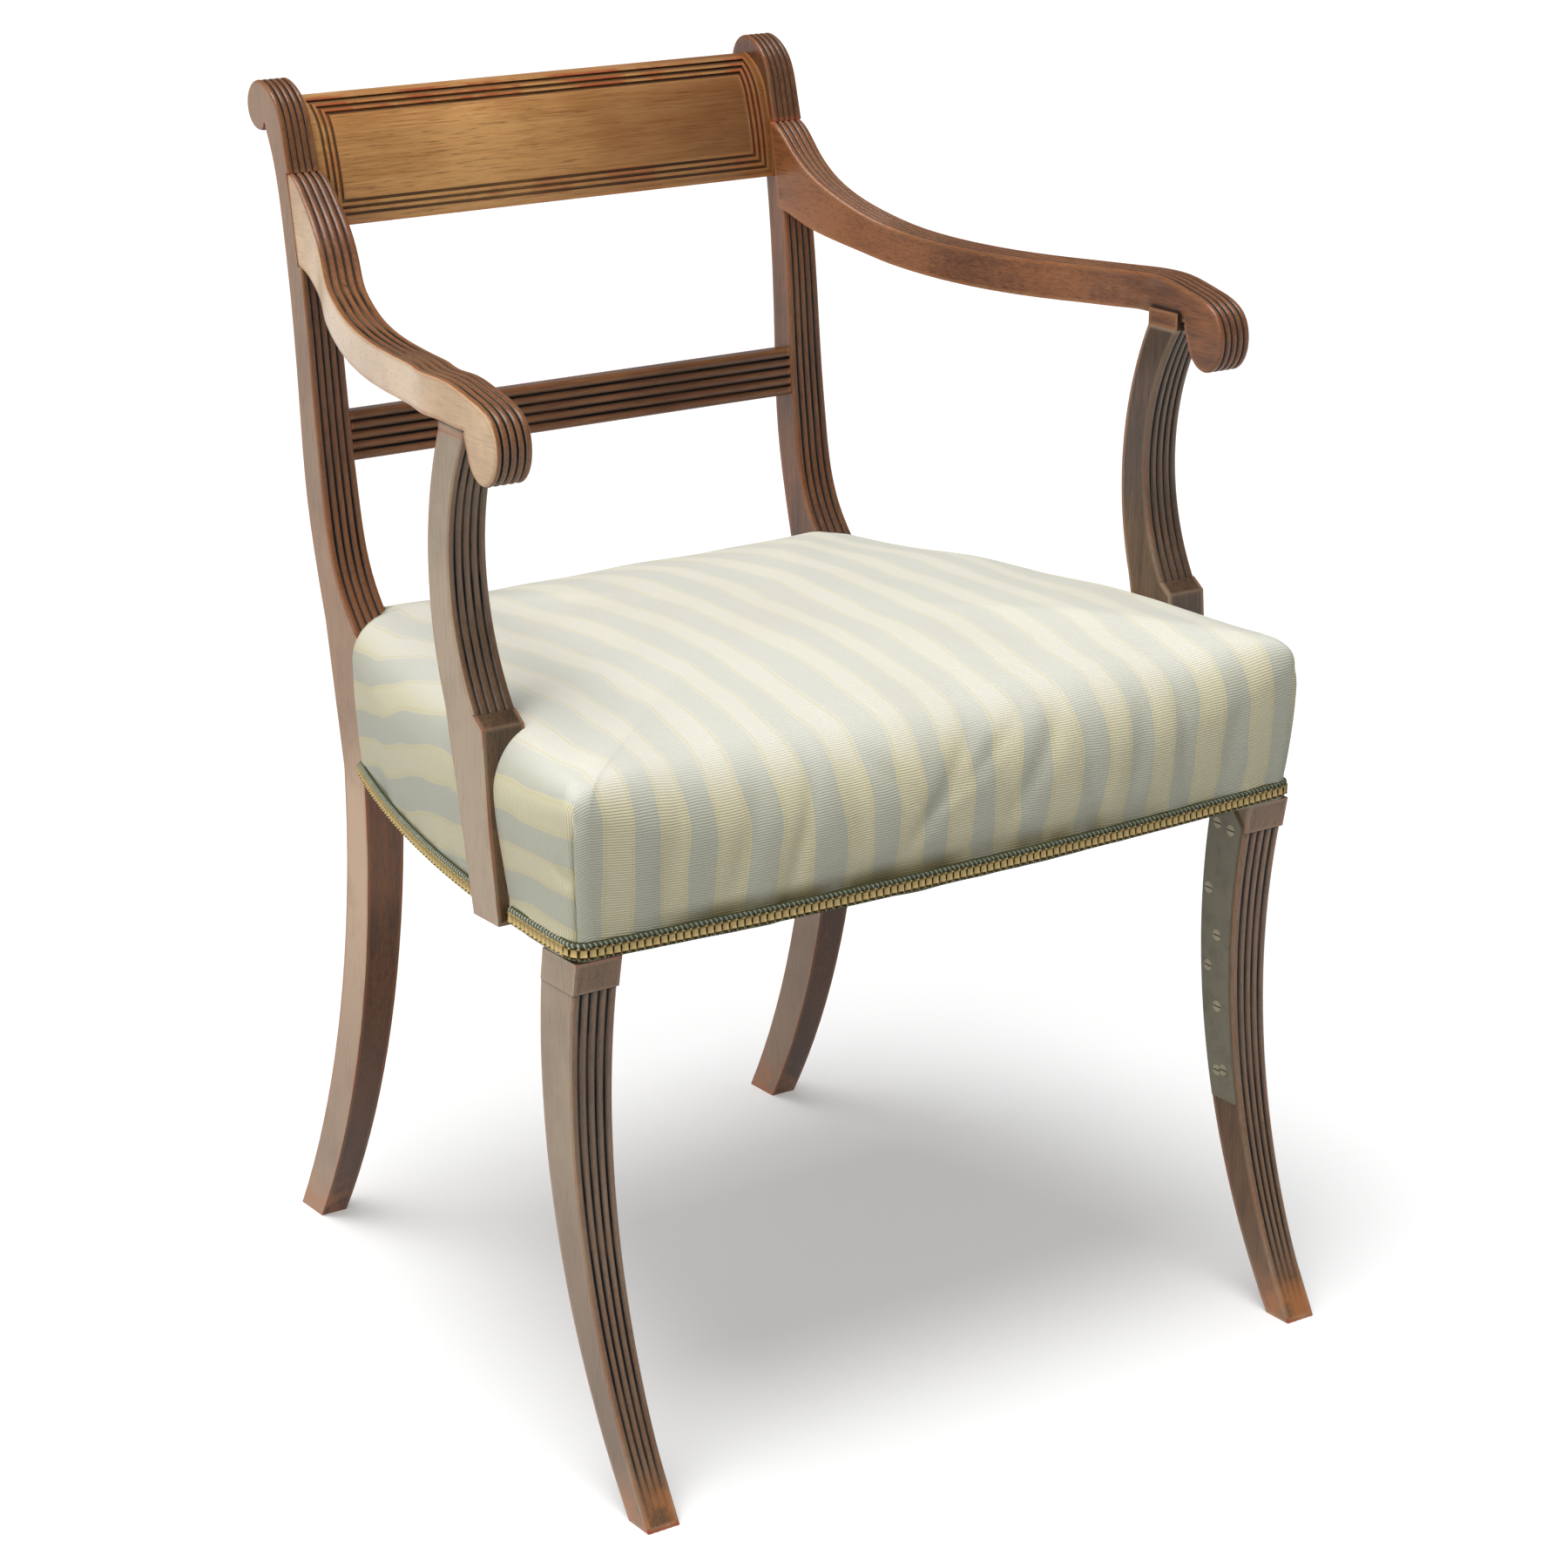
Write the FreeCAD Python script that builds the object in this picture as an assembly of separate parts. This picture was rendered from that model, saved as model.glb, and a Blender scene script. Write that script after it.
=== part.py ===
import FreeCAD, Part
import math
import os

V = FreeCAD.Vector

# A stuff-over carver chair: sabre legs, reeded arms with scrolled ends, a rolled crest.
# Millimetres. X runs across the chair, Y from the front toes to the back, Z up.

# Seat rails
rail_bottom = 372.0
rail_height = 62.0
rail_thickness = 24.0
rail_setback = 4.0
front_bow = 12.0
side_bow = 14.0
rear_bow = 0.8
rear_rail_inset = 2.0
tenon_thickness = 9.0
tenon_height = 42.0
front_tenon_length = 20.0
side_tenon_length = 15.0
stub_tenon_length = 8.0
rear_tenon_length = 18.0
joint_clearance = 0.15

# Reeding, the same count on every reeded member
reed_count = 5
reed_depth = 2.2
reed_ledge = 0.8
toe_reed_depth = 0.35
toe_reed_fade = 60.0

# Front legs
front_leg_outer = 292.5
front_leg_width = 34.0
front_leg_front = 61.0
front_leg_depth = 40.0
front_toe_width = 24.0
front_toe_depth = 24.0
front_knee_height = 250.0
front_knee_back = 12.0
front_knee_depth = 35.0
leg_block_drop = 22.0
leg_top_chamfer = 6.0

# Rear posts, foot to scrolled head in one piece
post_outer = 217.0
post_width = 31.0
post_top_width = 24.0
post_foot_width = 21.0
post_front = 467.0
post_depth = 29.0
rear_foot_front = 557.0
rear_foot_depth = 31.0
rear_knee_height = 205.0
rear_knee_back = 11.0
rear_knee_depth = 32.0
stile_base_height = 104.0
stile_base_depth = 49.0
stile_lip = 6.0
crown_height = 850.0
head_radius = 17.5
head_center_back = 121.0
head_notch_drop = 12.5
head_notch_forward = 8.5

# Back rails
crest_bottom = crown_height - 100.0
crest_front_back = 79.0
crest_thickness = 13.0
crest_tenon_length = 15.0
crest_tenon_thickness = 6.0
crest_tenon_height = 30.0
crest_tenon_drop = 12.0
crest_groove_width = 2.2
crest_groove_depth = 1.3
crest_groove_pitch = 4.6
crest_groove_margin = 6.5
crest_groove_count = 3
mid_rail_bottom = 588.0
mid_rail_height = 35.0
mid_rail_thickness = 15.0
mid_rail_front_back = 52.0
mid_rail_lean = 3.0
mid_tenon_length = 14.0
mid_tenon_thickness = 7.0
mid_tenon_height = 22.0

# Arms: swept outwards in plan between the post and the support, then straight to the scroll
arm_joint_back = 80.0
arm_front_x = 302.0
arm_width = 27.0
arm_joint_top = crown_height - 60.0
arm_joint_bottom = arm_joint_top - 63.0
arm_joint_lean = 12.0
arm_housing = 3.2
arm_shoulder_gap = 0.4
arm_low_top = crown_height - 134.0
arm_thickness = 26.5
arm_scroll_reach = 401.0
arm_scroll_radius = 23.5
arm_scroll_depth = 17.5
arm_scroll_height = arm_low_top - 32.0
arm_pad_bottom = arm_low_top - 30.0
dowel_radius = 4.0
dowel_length = 34.0
dowel_in_post = 11.0
dowel_height = arm_joint_bottom + 16.0

# Arm supports
support_outer = 296.5
support_lean = 3.0
support_foot_width = 31.0
support_waist_front = 349.0
support_waist_back = 324.0
support_top_front = 375.0
support_top_back = 344.0
support_block_top = 499.0
support_waist_height = support_block_top + (arm_pad_bottom - support_block_top) * 96.0 / 187.0
support_block_front = 384.0
support_block_back = 338.0
support_toe_front = 399.0
support_toe_back = 368.0
support_step = 10.0
support_bevel = 7.0
support_tenon_length = 18.0
support_tenon_width = 12.0
support_tenon_height = 12.0

# Corner blocks and screws
block_height = 40.0
block_lift = 6.0
front_block_reach = 66.0
rear_block_reach = 58.0
screw_radius = 2.1
screw_head_radius = 4.2
screw_head_depth = 2.4
screw_slot_width = 0.9
screw_slot_depth = 0.8
block_screw_length = 40.0
support_screw_length = 30.0
support_screw_bore = 5.0

# Webbing, base cloth, stuffing and cover
web_gauge = 1.2
web_width = 50.0
web_count = 4
web_edge = 5.0
tack_head_radius = 3.5
tack_head_height = 0.6
tack_radius = 0.9
tack_length = 9.0
tack_inset = 9.0
base_cloth_gauge = 0.8
base_cloth_inset = 6.0
cover_edge = 3.0
cover_gauge = 3.0
cover_swell = 8.0
seat_crown = 513.0
seat_edge_height = 465.0
crown_fullness = 2.6
seat_shoulder = 24.0
shoulder_turns = (20, 40, 60, 76)
crown_scales = (0.9, 0.76, 0.58, 0.38, 0.16)
seat_corner = 14.0
soft_clearance = 0.3
cloth_clearance = 0.2
gimp_height = 13.0
gimp_gauge = 2.6
gimp_lift = 1.0

# Mending plate on the inner side of one front leg
plate_gauge = 2.0
plate_bottom = 147.0
plate_top_gap = 4.0
plate_margin = 4.0
plate_chamfer = 14.0
plate_screw_length = 13.0

# Worked out from the sizes above
rail_top = rail_bottom + rail_height
leg_inner = front_leg_outer - front_leg_width
leg_back = front_leg_front + front_leg_depth
frame_front = front_leg_front + rail_setback
frame_side_front = front_leg_outer - rail_setback
frame_side_rear = post_outer - rail_setback
post_inner = post_outer - post_width
post_back = post_front + post_depth
rear_rail_back = post_back - rear_rail_inset
rear_rail_front = rear_rail_back - rail_thickness
block_bottom = rail_bottom - leg_block_drop
stile_base = rail_bottom + stile_base_height
side_tenon_back = post_front + stub_tenon_length
tenon_bottom = rail_bottom + (rail_height - tenon_height) / 2.0
joint_y = post_front + arm_joint_back
head_y = post_front + head_center_back
head_z = crown_height - head_radius


def line(a, b):
    return Part.LineSegment(a, b).toShape()


def arc(a, b, c):
    return Part.Arc(a, b, c).toShape()


def box(x0, x1, y0, y1, z0, z1):
    return Part.makeBox(x1 - x0, y1 - y0, z1 - z0, V(x0, y0, z0))


def prism(points, along):
    wire = Part.makePolygon(points + [points[0]])
    return Part.Face(wire).extrude(along)


def mirrored(shape):
    return shape.mirror(V(0, 0, 0), V(1, 0, 0))


def cut_all(shape, tools):
    for tool in tools:
        shape = shape.cut(tool)
    return shape


# The circle through three points of a side profile, and its depth at a height
def profile_arc(p, q, r):
    circle = Part.Arc(V(p[0], p[1], 0), V(q[0], q[1], 0), V(r[0], r[1], 0)).toShape().Curve
    sign = 1.0 if q[0] > circle.Center.x else -1.0

    def depth_at(height):
        rise = height - circle.Center.y
        return circle.Center.x + sign * math.sqrt(circle.Radius ** 2 - rise ** 2)
    return depth_at


# A smooth curve through a few points, read by its share of length
def smooth(points):
    curve = Part.BSplineCurve()
    curve.interpolate([V(p[0], p[1], 0) for p in points])
    whole = curve.length()

    def at(share):
        p = curve.value(curve.parameterAtDistance(whole * share, curve.FirstParameter))
        return (p.x, p.y)
    return at


# Closed section of a member: plain sides and back, a row of reeds across the show face
def reeded_section(corner, across, outward, width, length, depth):
    def p(u, v):
        return corner + across * u + outward * v
    low = length - depth
    pitch = width / reed_count
    edges = [line(p(width, 0), p(0, 0)), line(p(0, 0), p(0, low))]
    for k in range(reed_count):
        edges.append(arc(p(k * pitch, low), p((k + 0.5) * pitch, length), p((k + 1) * pitch, low)))
    edges.append(line(p(width, low), p(width, 0)))
    return Part.Wire(edges)


# A screw with a slotted countersunk head at the start point
def screw(start, along, length, grow=0.0):
    head = Part.makeCone(screw_head_radius + grow, screw_radius + grow, screw_head_depth, start, along)
    shank = Part.makeCylinder(screw_radius + grow, length, start, along)
    body = head.fuse(shank).removeSplitter()
    if grow > 0:
        return body
    side = along.cross(V(0, 0, 1))
    if side.Length < 0.1:
        side = V(1, 0, 0)
    side.normalize()
    up = side.cross(along)
    reach = screw_head_radius + 1.0
    a = start - side * reach - up * (screw_slot_width / 2.0) - along
    slot = prism([a, a + side * (2 * reach), a + side * (2 * reach) + up * screw_slot_width,
                  a + up * screw_slot_width], along * (1.0 + screw_slot_depth))
    return body.cut(slot)


# Plan of the side rails: the outer face is one arc from leg to post
side_start = V(frame_side_front, leg_back, 0)
side_end = V(frame_side_rear, post_front, 0)
side_run = side_end - side_start
side_out = V(side_run.y, -side_run.x, 0)
side_out.normalize()
side_mid = (side_start + side_end) * 0.5 + side_out * side_bow
side_circle = Part.Arc(side_start, side_mid, side_end).toShape().Curve


def side_face_x(y):
    return side_circle.Center.x + math.sqrt(side_circle.Radius ** 2 - (y - side_circle.Center.y) ** 2)


def bowed_rail(a, m, b, inward, bottom, height):
    edges = [arc(a, m, b), line(b, b + inward), arc(b + inward, m + inward, a + inward), line(a + inward, a)]
    return Part.Face(Part.Wire(edges)).extrude(V(0, 0, height)).translated(V(0, 0, bottom))


def tenon_box(x0, x1, y0, y1, grow):
    return box(x0 - grow, x1 + grow, y0 - grow, y1 + grow, tenon_bottom - grow,
               tenon_bottom + tenon_height + grow)


half_tenon = tenon_thickness / 2.0
front_tenon_y = frame_front + rail_thickness / 2.0
rear_tenon_y = rear_rail_back - rail_thickness / 2.0
side_tenon_front_x = frame_side_front - rail_thickness / 2.0
side_tenon_rear_x = frame_side_rear - rail_thickness / 2.0


def front_tenon(grow=0.0):
    return tenon_box(leg_inner, leg_inner + front_tenon_length, front_tenon_y - half_tenon,
                     front_tenon_y + half_tenon, grow)


def side_tenon(grow=0.0):
    return tenon_box(side_tenon_front_x - half_tenon, side_tenon_front_x + half_tenon,
                     leg_back - side_tenon_length, leg_back, grow)


def stub_tenon(grow=0.0):
    return tenon_box(side_tenon_rear_x - half_tenon, side_tenon_rear_x + half_tenon,
                     post_front, side_tenon_back, grow)


def rear_tenon(grow=0.0):
    return tenon_box(post_inner, post_inner + rear_tenon_length, rear_tenon_y - half_tenon,
                     rear_tenon_y + half_tenon, grow)


def front_rail(grow=0.0):
    a = V(-leg_inner, frame_front, 0)
    m = V(0, frame_front - front_bow, 0)
    b = V(leg_inner, frame_front, 0)
    return bowed_rail(a, m, b, V(0, rail_thickness + grow, 0), rail_bottom, rail_height)


def side_rail(grow=0.0):
    inward = V(-(rail_thickness + grow), 0, 0)
    return bowed_rail(side_start, side_mid, side_end, inward, rail_bottom, rail_height)


def rear_rail(grow=0.0):
    return box(-post_inner, post_inner, rear_rail_front - grow, rear_rail_back, rail_bottom, rail_top)


# Front leg: a swept sabre with reeds below a plain block, and a set-back top under the cover
leg_front_at = profile_arc((front_leg_front, rail_bottom), (front_leg_front + front_knee_back, front_knee_height),
                           (0.0, 0.0))
leg_back_at = profile_arc((leg_back, rail_bottom),
                          (front_leg_front + front_knee_back + front_knee_depth, front_knee_height),
                          (front_toe_depth, 0.0))


# The leg's top between the rails, its outer corner eased under the cover
def leg_top(grow, z0, z1):
    return prism([V(leg_inner, frame_front - grow, z0), V(frame_side_front - leg_top_chamfer, frame_front - grow, z0),
                  V(frame_side_front + grow, frame_front + leg_top_chamfer, z0),
                  V(frame_side_front + grow, leg_back, z0), V(leg_inner, leg_back, z0)], V(0, 0, z1 - z0))


def front_leg():
    sections = []
    steps = 10
    for i in range(steps + 1):
        z = block_bottom * i / steps
        width = front_toe_width + (front_leg_width - front_toe_width) * z / rail_bottom
        depth = toe_reed_depth + (reed_depth - toe_reed_depth) * min(1.0, z / toe_reed_fade)
        show = leg_front_at(z) + reed_ledge
        back = leg_back_at(z)
        sections.append(reeded_section(V(leg_inner, back, z), V(1, 0, 0), V(0, -1, 0), width, back - show, depth))
    shaft = Part.makeLoft(sections, True, False)
    block = prism([V(leg_inner, leg_front_at(block_bottom), block_bottom),
                   V(leg_inner, front_leg_front, rail_bottom),
                   V(leg_inner, leg_back, rail_bottom),
                   V(leg_inner, leg_back_at(block_bottom), block_bottom)], V(front_leg_width, 0, 0))
    leg = shaft.fuse(block).fuse(leg_top(0.0, rail_bottom, rail_top)).removeSplitter()
    return cut_all(leg, [front_tenon(joint_clearance), side_tenon(joint_clearance)])


# Rear post: extruded sabre foot and seat block, then a reeded stile rolled over at the head
def stile_width(z):
    share = (z - stile_base) / (crown_height - stile_base)
    return post_width + (post_top_width - post_width) * max(0.0, min(1.0, share))


head_notch = (head_y - head_notch_forward, head_z - head_notch_drop)
head_start = math.radians(108.0)
head_end = math.radians(-100.0)

stile_front_at = smooth([(post_front + stile_lip, stile_base), (post_front + 22, stile_base + 19),
                         (post_front + 36, stile_base + 45), (post_front + 44, stile_base + 79),
                         (post_front + 52, stile_base + 134), (post_front + 61.5, crown_height - 155),
                         (post_front + 74, crown_height - 85), (post_front + 86, crown_height - 39),
                         (post_front + 99, crown_height - 10),
                         (head_y + head_radius * math.cos(head_start), head_z + head_radius * math.sin(head_start))])
stile_back_at = smooth([(post_front + stile_base_depth, stile_base), (post_front + 60, stile_base + 39),
                        (post_front + 70, stile_base + 84), (post_front + 76, stile_base + 144),
                        (post_front + 82, crown_height - 160), (post_front + 92, crown_height - 93),
                        (post_front + 104, crown_height - 47), head_notch])


def stile_section(show, back):
    run = V(0, show[0] - back[0], show[1] - back[1])
    length = run.Length
    run.normalize()
    width = stile_width(show[1])
    corner = V(post_outer - width, back[0], back[1])
    return reeded_section(corner, V(1, 0, 0), run, width, length, reed_depth)


def rear_post_blank():
    sections = []
    steps = 16
    for i in range(steps + 1):
        sections.append(stile_section(stile_front_at(i / steps), stile_back_at(i / steps * 0.985)))
    turns = 8
    for i in range(1, turns + 1):
        a = head_start + (head_end - head_start) * i / turns
        show = (head_y + head_radius * math.cos(a), head_z + head_radius * math.sin(a))
        gap = V(show[0] - head_notch[0], show[1] - head_notch[1], 0)
        gap.normalize()
        sections.append(stile_section(show, (head_notch[0] + 1.5 * gap.x, head_notch[1] + 1.5 * gap.y)))
    stile = Part.makeLoft(sections, True, False)
    x = post_inner

    def p(y, z):
        return V(x, y, z)
    edges = [line(p(post_front, stile_base - stile_lip), p(post_front, rail_bottom)),
             arc(p(post_front, rail_bottom), p(post_front + rear_knee_back, rear_knee_height), p(rear_foot_front, 0)),
             line(p(rear_foot_front, 0), p(rear_foot_front + rear_foot_depth, 0)),
             arc(p(rear_foot_front + rear_foot_depth, 0),
                 p(post_front + rear_knee_back + rear_knee_depth, rear_knee_height), p(post_back, rail_bottom)),
             line(p(post_back, rail_bottom), p(post_front + stile_base_depth, stile_base)),
             line(p(post_front + stile_base_depth, stile_base), p(post_front + stile_lip, stile_base)),
             line(p(post_front + stile_lip, stile_base), p(post_front, stile_base - stile_lip))]
    foot = Part.Face(Part.Wire(edges)).extrude(V(post_width, 0, 0))
    slim = post_width - post_foot_width
    taper = prism([V(post_inner - 5, 0, rail_bottom), V(post_inner, 0, rail_bottom), V(post_inner + slim, 0, 0),
                   V(post_inner + slim, 0, -5), V(post_inner - 5, 0, -5)], V(0, rear_foot_front + 200, 0))
    return stile.fuse(foot.cut(taper)).removeSplitter()


# Space on the outer side of a stile's inner face, for trimming the back rails to it
def beyond_stile():
    return prism([V(post_outer - stile_width(stile_base), 0, stile_base),
                  V(post_outer - stile_width(crown_height), 0, crown_height),
                  V(post_outer + 50, 0, crown_height), V(post_outer + 50, 0, stile_base)],
                 V(0, rear_foot_front + 200, 0))


# Crest rail: leans with the stiles, then rolls back over the top
crest_front = post_front + crest_front_back
crest_reach = post_outer - post_top_width


def crest_tenon(grow=0.0):
    y0 = crest_front + 7.0
    z0 = crest_bottom + crest_tenon_drop
    x0 = post_outer - stile_width(z0) - 5.0
    x1 = post_outer - stile_width(z0) + crest_tenon_length
    return box(x0, x1 + grow, y0 - grow, y0 + crest_tenon_thickness + grow, z0 - grow,
               z0 + crest_tenon_height + grow)


def crest_profile(x, inset=0.0):
    t = crest_thickness

    def p(y, z):
        return V(x, crest_front + y, crest_bottom + z)
    f = [p(inset, 0), p(3.5 + inset, 29), p(11 + inset, 56 - inset * 0.4), p(21 + inset * 0.8, 75 - inset * 0.8),
         p(39 + inset * 0.2, 87 - inset)]
    b = [p(44, 73), p(30, 59), p(t + 9, 42), p(t + 2, 20), p(t, 0)]
    return f, b


def crest_rail():
    f, b = crest_profile(-crest_reach - 8)
    cap = V(f[4].x, crest_front + 48, crest_bottom + 81)
    edges = [arc(f[0], f[1], f[2]), arc(f[2], f[3], f[4]), arc(f[4], cap, b[0]), arc(b[0], b[1], b[2]),
             arc(b[2], b[3], b[4]), line(b[4], f[0])]
    rail = Part.Face(Part.Wire(edges)).extrude(V(2 * (crest_reach + 8), 0, 0))
    trim = beyond_stile()
    rail = cut_all(rail, [trim, mirrored(trim)])
    # Nested border grooves: a skin of the front face, cut into frames
    g, c = crest_profile(-crest_reach, crest_groove_depth)
    o = [q - V(0, 6, -3) for q in g]
    skin_edges = [arc(g[0], g[1], g[2]), arc(g[2], g[3], g[4]), line(g[4], o[4]), arc(o[4], o[3], o[2]),
                  arc(o[2], o[1], o[0]), line(o[0], g[0])]
    skin = Part.Face(Part.Wire(skin_edges)).extrude(V(2 * crest_reach, 0, 0))
    top = crest_bottom + 84.0
    side = post_outer - stile_width(crest_bottom) - crest_groove_margin
    for k in range(crest_groove_count):
        step = k * crest_groove_pitch
        w = crest_groove_width
        z0 = crest_bottom + crest_groove_margin + step
        z1 = top - step * 0.8
        y0 = crest_front - 20
        y1 = crest_front + 80
        frame = box(-side + step, side - step, y0, y1, z0, z1)
        hole = box(-side + step + w, side - step - w, y0 - 1, y1 + 1, z0 + w, z1 - w)
        rail = rail.cut(skin.common(frame.cut(hole)))
    tenon = crest_tenon()
    return rail.fuse(tenon).fuse(mirrored(tenon)).removeSplitter()


# Mid rail: a straight reeded bar between the stiles
mid_front = post_front + mid_rail_front_back


def mid_tenon(grow=0.0):
    z0 = mid_rail_bottom + (mid_rail_height - mid_tenon_height) / 2.0
    y0 = mid_front + mid_rail_lean / 2.0 + (mid_rail_thickness - mid_tenon_thickness) / 2.0
    x0 = post_outer - stile_width(z0) - 5.0
    x1 = post_outer - stile_width(z0) + mid_tenon_length
    return box(x0, x1 + grow, y0 - grow, y0 + mid_tenon_thickness + grow, z0 - grow, z0 + mid_tenon_height + grow)


def mid_rail():
    across = V(0, mid_rail_lean, mid_rail_height)
    width = across.Length
    across.normalize()
    outward = V(0, -across.z, across.y)
    reach = post_outer - stile_width(mid_rail_bottom) + 5.0
    corner = V(-reach, mid_front, mid_rail_bottom) - outward * mid_rail_thickness
    section = reeded_section(corner, across, outward, width, mid_rail_thickness, reed_depth)
    bar = Part.Face(section).extrude(V(2 * reach, 0, 0))
    trim = beyond_stile()
    bar = cut_all(bar, [trim, mirrored(trim)])
    tenon = mid_tenon()
    return bar.fuse(tenon).fuse(mirrored(tenon)).removeSplitter()


# Plan of the right arm's outer face: distance forward of the joint, then distance from the middle
arm_plan_points = [(-30.0, post_outer - 0.5), (12.0, post_outer - 0.5), (45.0, post_outer + 4.5),
                   (90.0, arm_front_x - 63.0), (180.0, arm_front_x - 35.5), (300.0, arm_front_x - 7.5),
                   (338.0, arm_front_x), (400.0, arm_front_x), (450.0, arm_front_x)]


def plan_slope(k):
    a, b, c = arm_plan_points[k - 1:k + 2]
    if a[1] == b[1] or b[1] == c[1]:
        return 0.0
    return (c[1] - a[1]) / (c[0] - a[0])


def arm_plan(s):
    q = arm_plan_points
    k = 1
    while k < len(q) - 3 and s > q[k + 1][0]:
        k += 1
    span = q[k + 1][0] - q[k][0]
    t = (s - q[k][0]) / span
    if t < 0:
        return q[k][1]
    ease = 3 * t ** 2 - 2 * t ** 3
    return (q[k][1] * (1 - ease) + q[k + 1][1] * ease
            + span * (plan_slope(k) * t * (1 - t) ** 2 + plan_slope(k + 1) * t ** 2 * (t - 1)))


def arm_directions(s):
    slope = (arm_plan(s + 1.0) - arm_plan(s - 1.0)) / 2.0
    ahead = V(slope, -1, 0)
    ahead.normalize()
    return ahead, V(ahead.y, -ahead.x, 0)


def on_arm(s, w, z):
    return V(arm_plan(s), joint_y - s, z) + arm_directions(s)[1] * w


# The support stands under the arm's straight end, its faces square to the chair
inward = V(-1, 0, 0)
forward = V(0, -1, 0)


stem_bottom = support_block_top + support_bevel


def on_support(s, w, z):
    share = max(0.0, min(1.0, (z - stem_bottom) / (arm_pad_bottom - stem_bottom)))
    return V(support_outer + support_lean * share - w, joint_y - s, z)


scroll_notch = (arm_scroll_reach - arm_scroll_depth - 5.0, arm_scroll_height + 8.0)
scroll_start = math.radians(66.0)
scroll_end = math.radians(-155.0)
arm_top_at = smooth([(0.0, arm_joint_top), (21, arm_low_top + 56), (41, arm_low_top + 37), (65, arm_low_top + 22),
                     (102, arm_low_top + 9), (155, arm_low_top + 1.5), (200, arm_low_top), (272, arm_low_top + 2),
                     (arm_scroll_reach - 60, arm_low_top + 4), (arm_scroll_reach - 32, arm_low_top + 2),
                     (arm_scroll_reach - 14, arm_low_top - 3),
                     (arm_scroll_reach + arm_scroll_depth * math.cos(scroll_start),
                      arm_scroll_height + arm_scroll_radius * math.sin(scroll_start))])
arm_under = arm_low_top - arm_thickness
arm_under_at = smooth([(arm_joint_lean, arm_joint_bottom), (48, arm_under + 24), (75, arm_under + 15),
                       (105, arm_under + 8), (145, arm_under + 2.5), (195, arm_under), (250, arm_under + 1),
                       (304, arm_under + 3.5), (345, arm_under + 4), scroll_notch])


def arm_section(show, under):
    run = V(show[0] - under[0], show[1] - under[1], 0)
    middle = (show[0] + under[0]) / 2.0
    ahead, across = arm_directions(middle)
    outward = ahead * (run.x / run.Length) + V(0, 0, run.y / run.Length)
    corner = on_arm(middle, 0, under[1]) + ahead * (under[0] - middle)
    return reeded_section(corner, across, outward, arm_width, run.Length, reed_depth)


def support_tenon(grow=0.0):
    s0 = (support_top_back + support_top_front - support_tenon_length) / 2.0 - grow
    s1 = s0 + support_tenon_length + 2 * grow
    w0 = (arm_width - support_tenon_width) / 2.0 - grow
    w1 = w0 + support_tenon_width + 2 * grow
    z0 = arm_pad_bottom - 4.0
    return prism([on_support(s0, w0, z0), on_support(s1, w0, z0), on_support(s1, w1, z0), on_support(s0, w1, z0)],
                 V(0, 0, 4.0 + support_tenon_height + grow))


def arm_dowel(grow=0.0):
    s0 = (arm_joint_top - dowel_height) / (arm_joint_top - arm_joint_bottom) * arm_joint_lean - arm_housing
    start = on_arm(s0 - dowel_in_post - grow, arm_width / 2.0, dowel_height)
    return Part.makeCylinder(dowel_radius + grow, dowel_length + 2 * grow, start, arm_directions(s0)[0])


# Floor of the housing across the stile, as points in Y and Z; the arm's end is cut to it
housing_top = (joint_y + arm_housing, arm_joint_top)
housing_low = (joint_y - arm_joint_lean + arm_housing, arm_joint_bottom)
housing_lean = (housing_top[0] - housing_low[0]) / (housing_top[1] - housing_low[1])


def arm_housing_notch():
    x = post_inner - 10.0
    grow = joint_clearance
    front = 40.0
    step = housing_lean * grow
    return prism([V(x, housing_top[0] + step, housing_top[1] + grow),
                  V(x, housing_low[0] - step, housing_low[1] - grow),
                  V(x, housing_low[0] - front, housing_low[1] - grow),
                  V(x, housing_top[0] - front, housing_top[1] + grow)], V(post_width + 20.0, 0, 0))


def behind_housing():
    x = post_inner - 40.0
    lean = housing_lean
    reach = 40.0
    back = 80.0
    shoulder = arm_housing + arm_shoulder_gap
    return prism([V(x, housing_top[0] - shoulder + lean * reach, housing_top[1] + reach),
                  V(x, housing_top[0] - shoulder, housing_top[1]),
                  V(x, housing_top[0], housing_top[1]),
                  V(x, housing_low[0], housing_low[1]),
                  V(x, housing_low[0] - shoulder, housing_low[1]),
                  V(x, housing_low[0] - shoulder - lean * reach, housing_low[1] - reach),
                  V(x, housing_low[0] + back, housing_low[1] - reach),
                  V(x, housing_top[0] + back, housing_top[1] + reach)], V(post_width + 80.0, 0, 0))


def arm_blank():
    entry = arm_housing + 8.0
    sections = [arm_section((-entry, arm_joint_top), (arm_joint_lean - entry, arm_joint_bottom))]
    steps = 16
    for i in range(steps + 1):
        sections.append(arm_section(arm_top_at(i / steps), arm_under_at(i / steps * 0.99)))
    turns = 10
    for i in range(1, turns + 1):
        a = scroll_start + (scroll_end - scroll_start) * i / turns
        show = (arm_scroll_reach + arm_scroll_depth * math.cos(a),
                arm_scroll_height + arm_scroll_radius * math.sin(a))
        gap = V(show[0] - scroll_notch[0], show[1] - scroll_notch[1], 0)
        gap.normalize()
        sections.append(arm_section(show, (scroll_notch[0] + 1.5 * gap.x, scroll_notch[1] + 1.5 * gap.y)))
    body = Part.makeLoft(sections, True, False)
    pad_top = arm_pad_bottom + 12.0
    pad = prism([on_support(support_top_back, 0, arm_pad_bottom), on_support(support_top_front, 0, arm_pad_bottom),
                 on_support(support_top_front, 0, pad_top), on_support(support_top_back, 0, pad_top)],
                inward * arm_width)
    return body.cut(behind_housing()).fuse(pad).removeSplitter()


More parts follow.
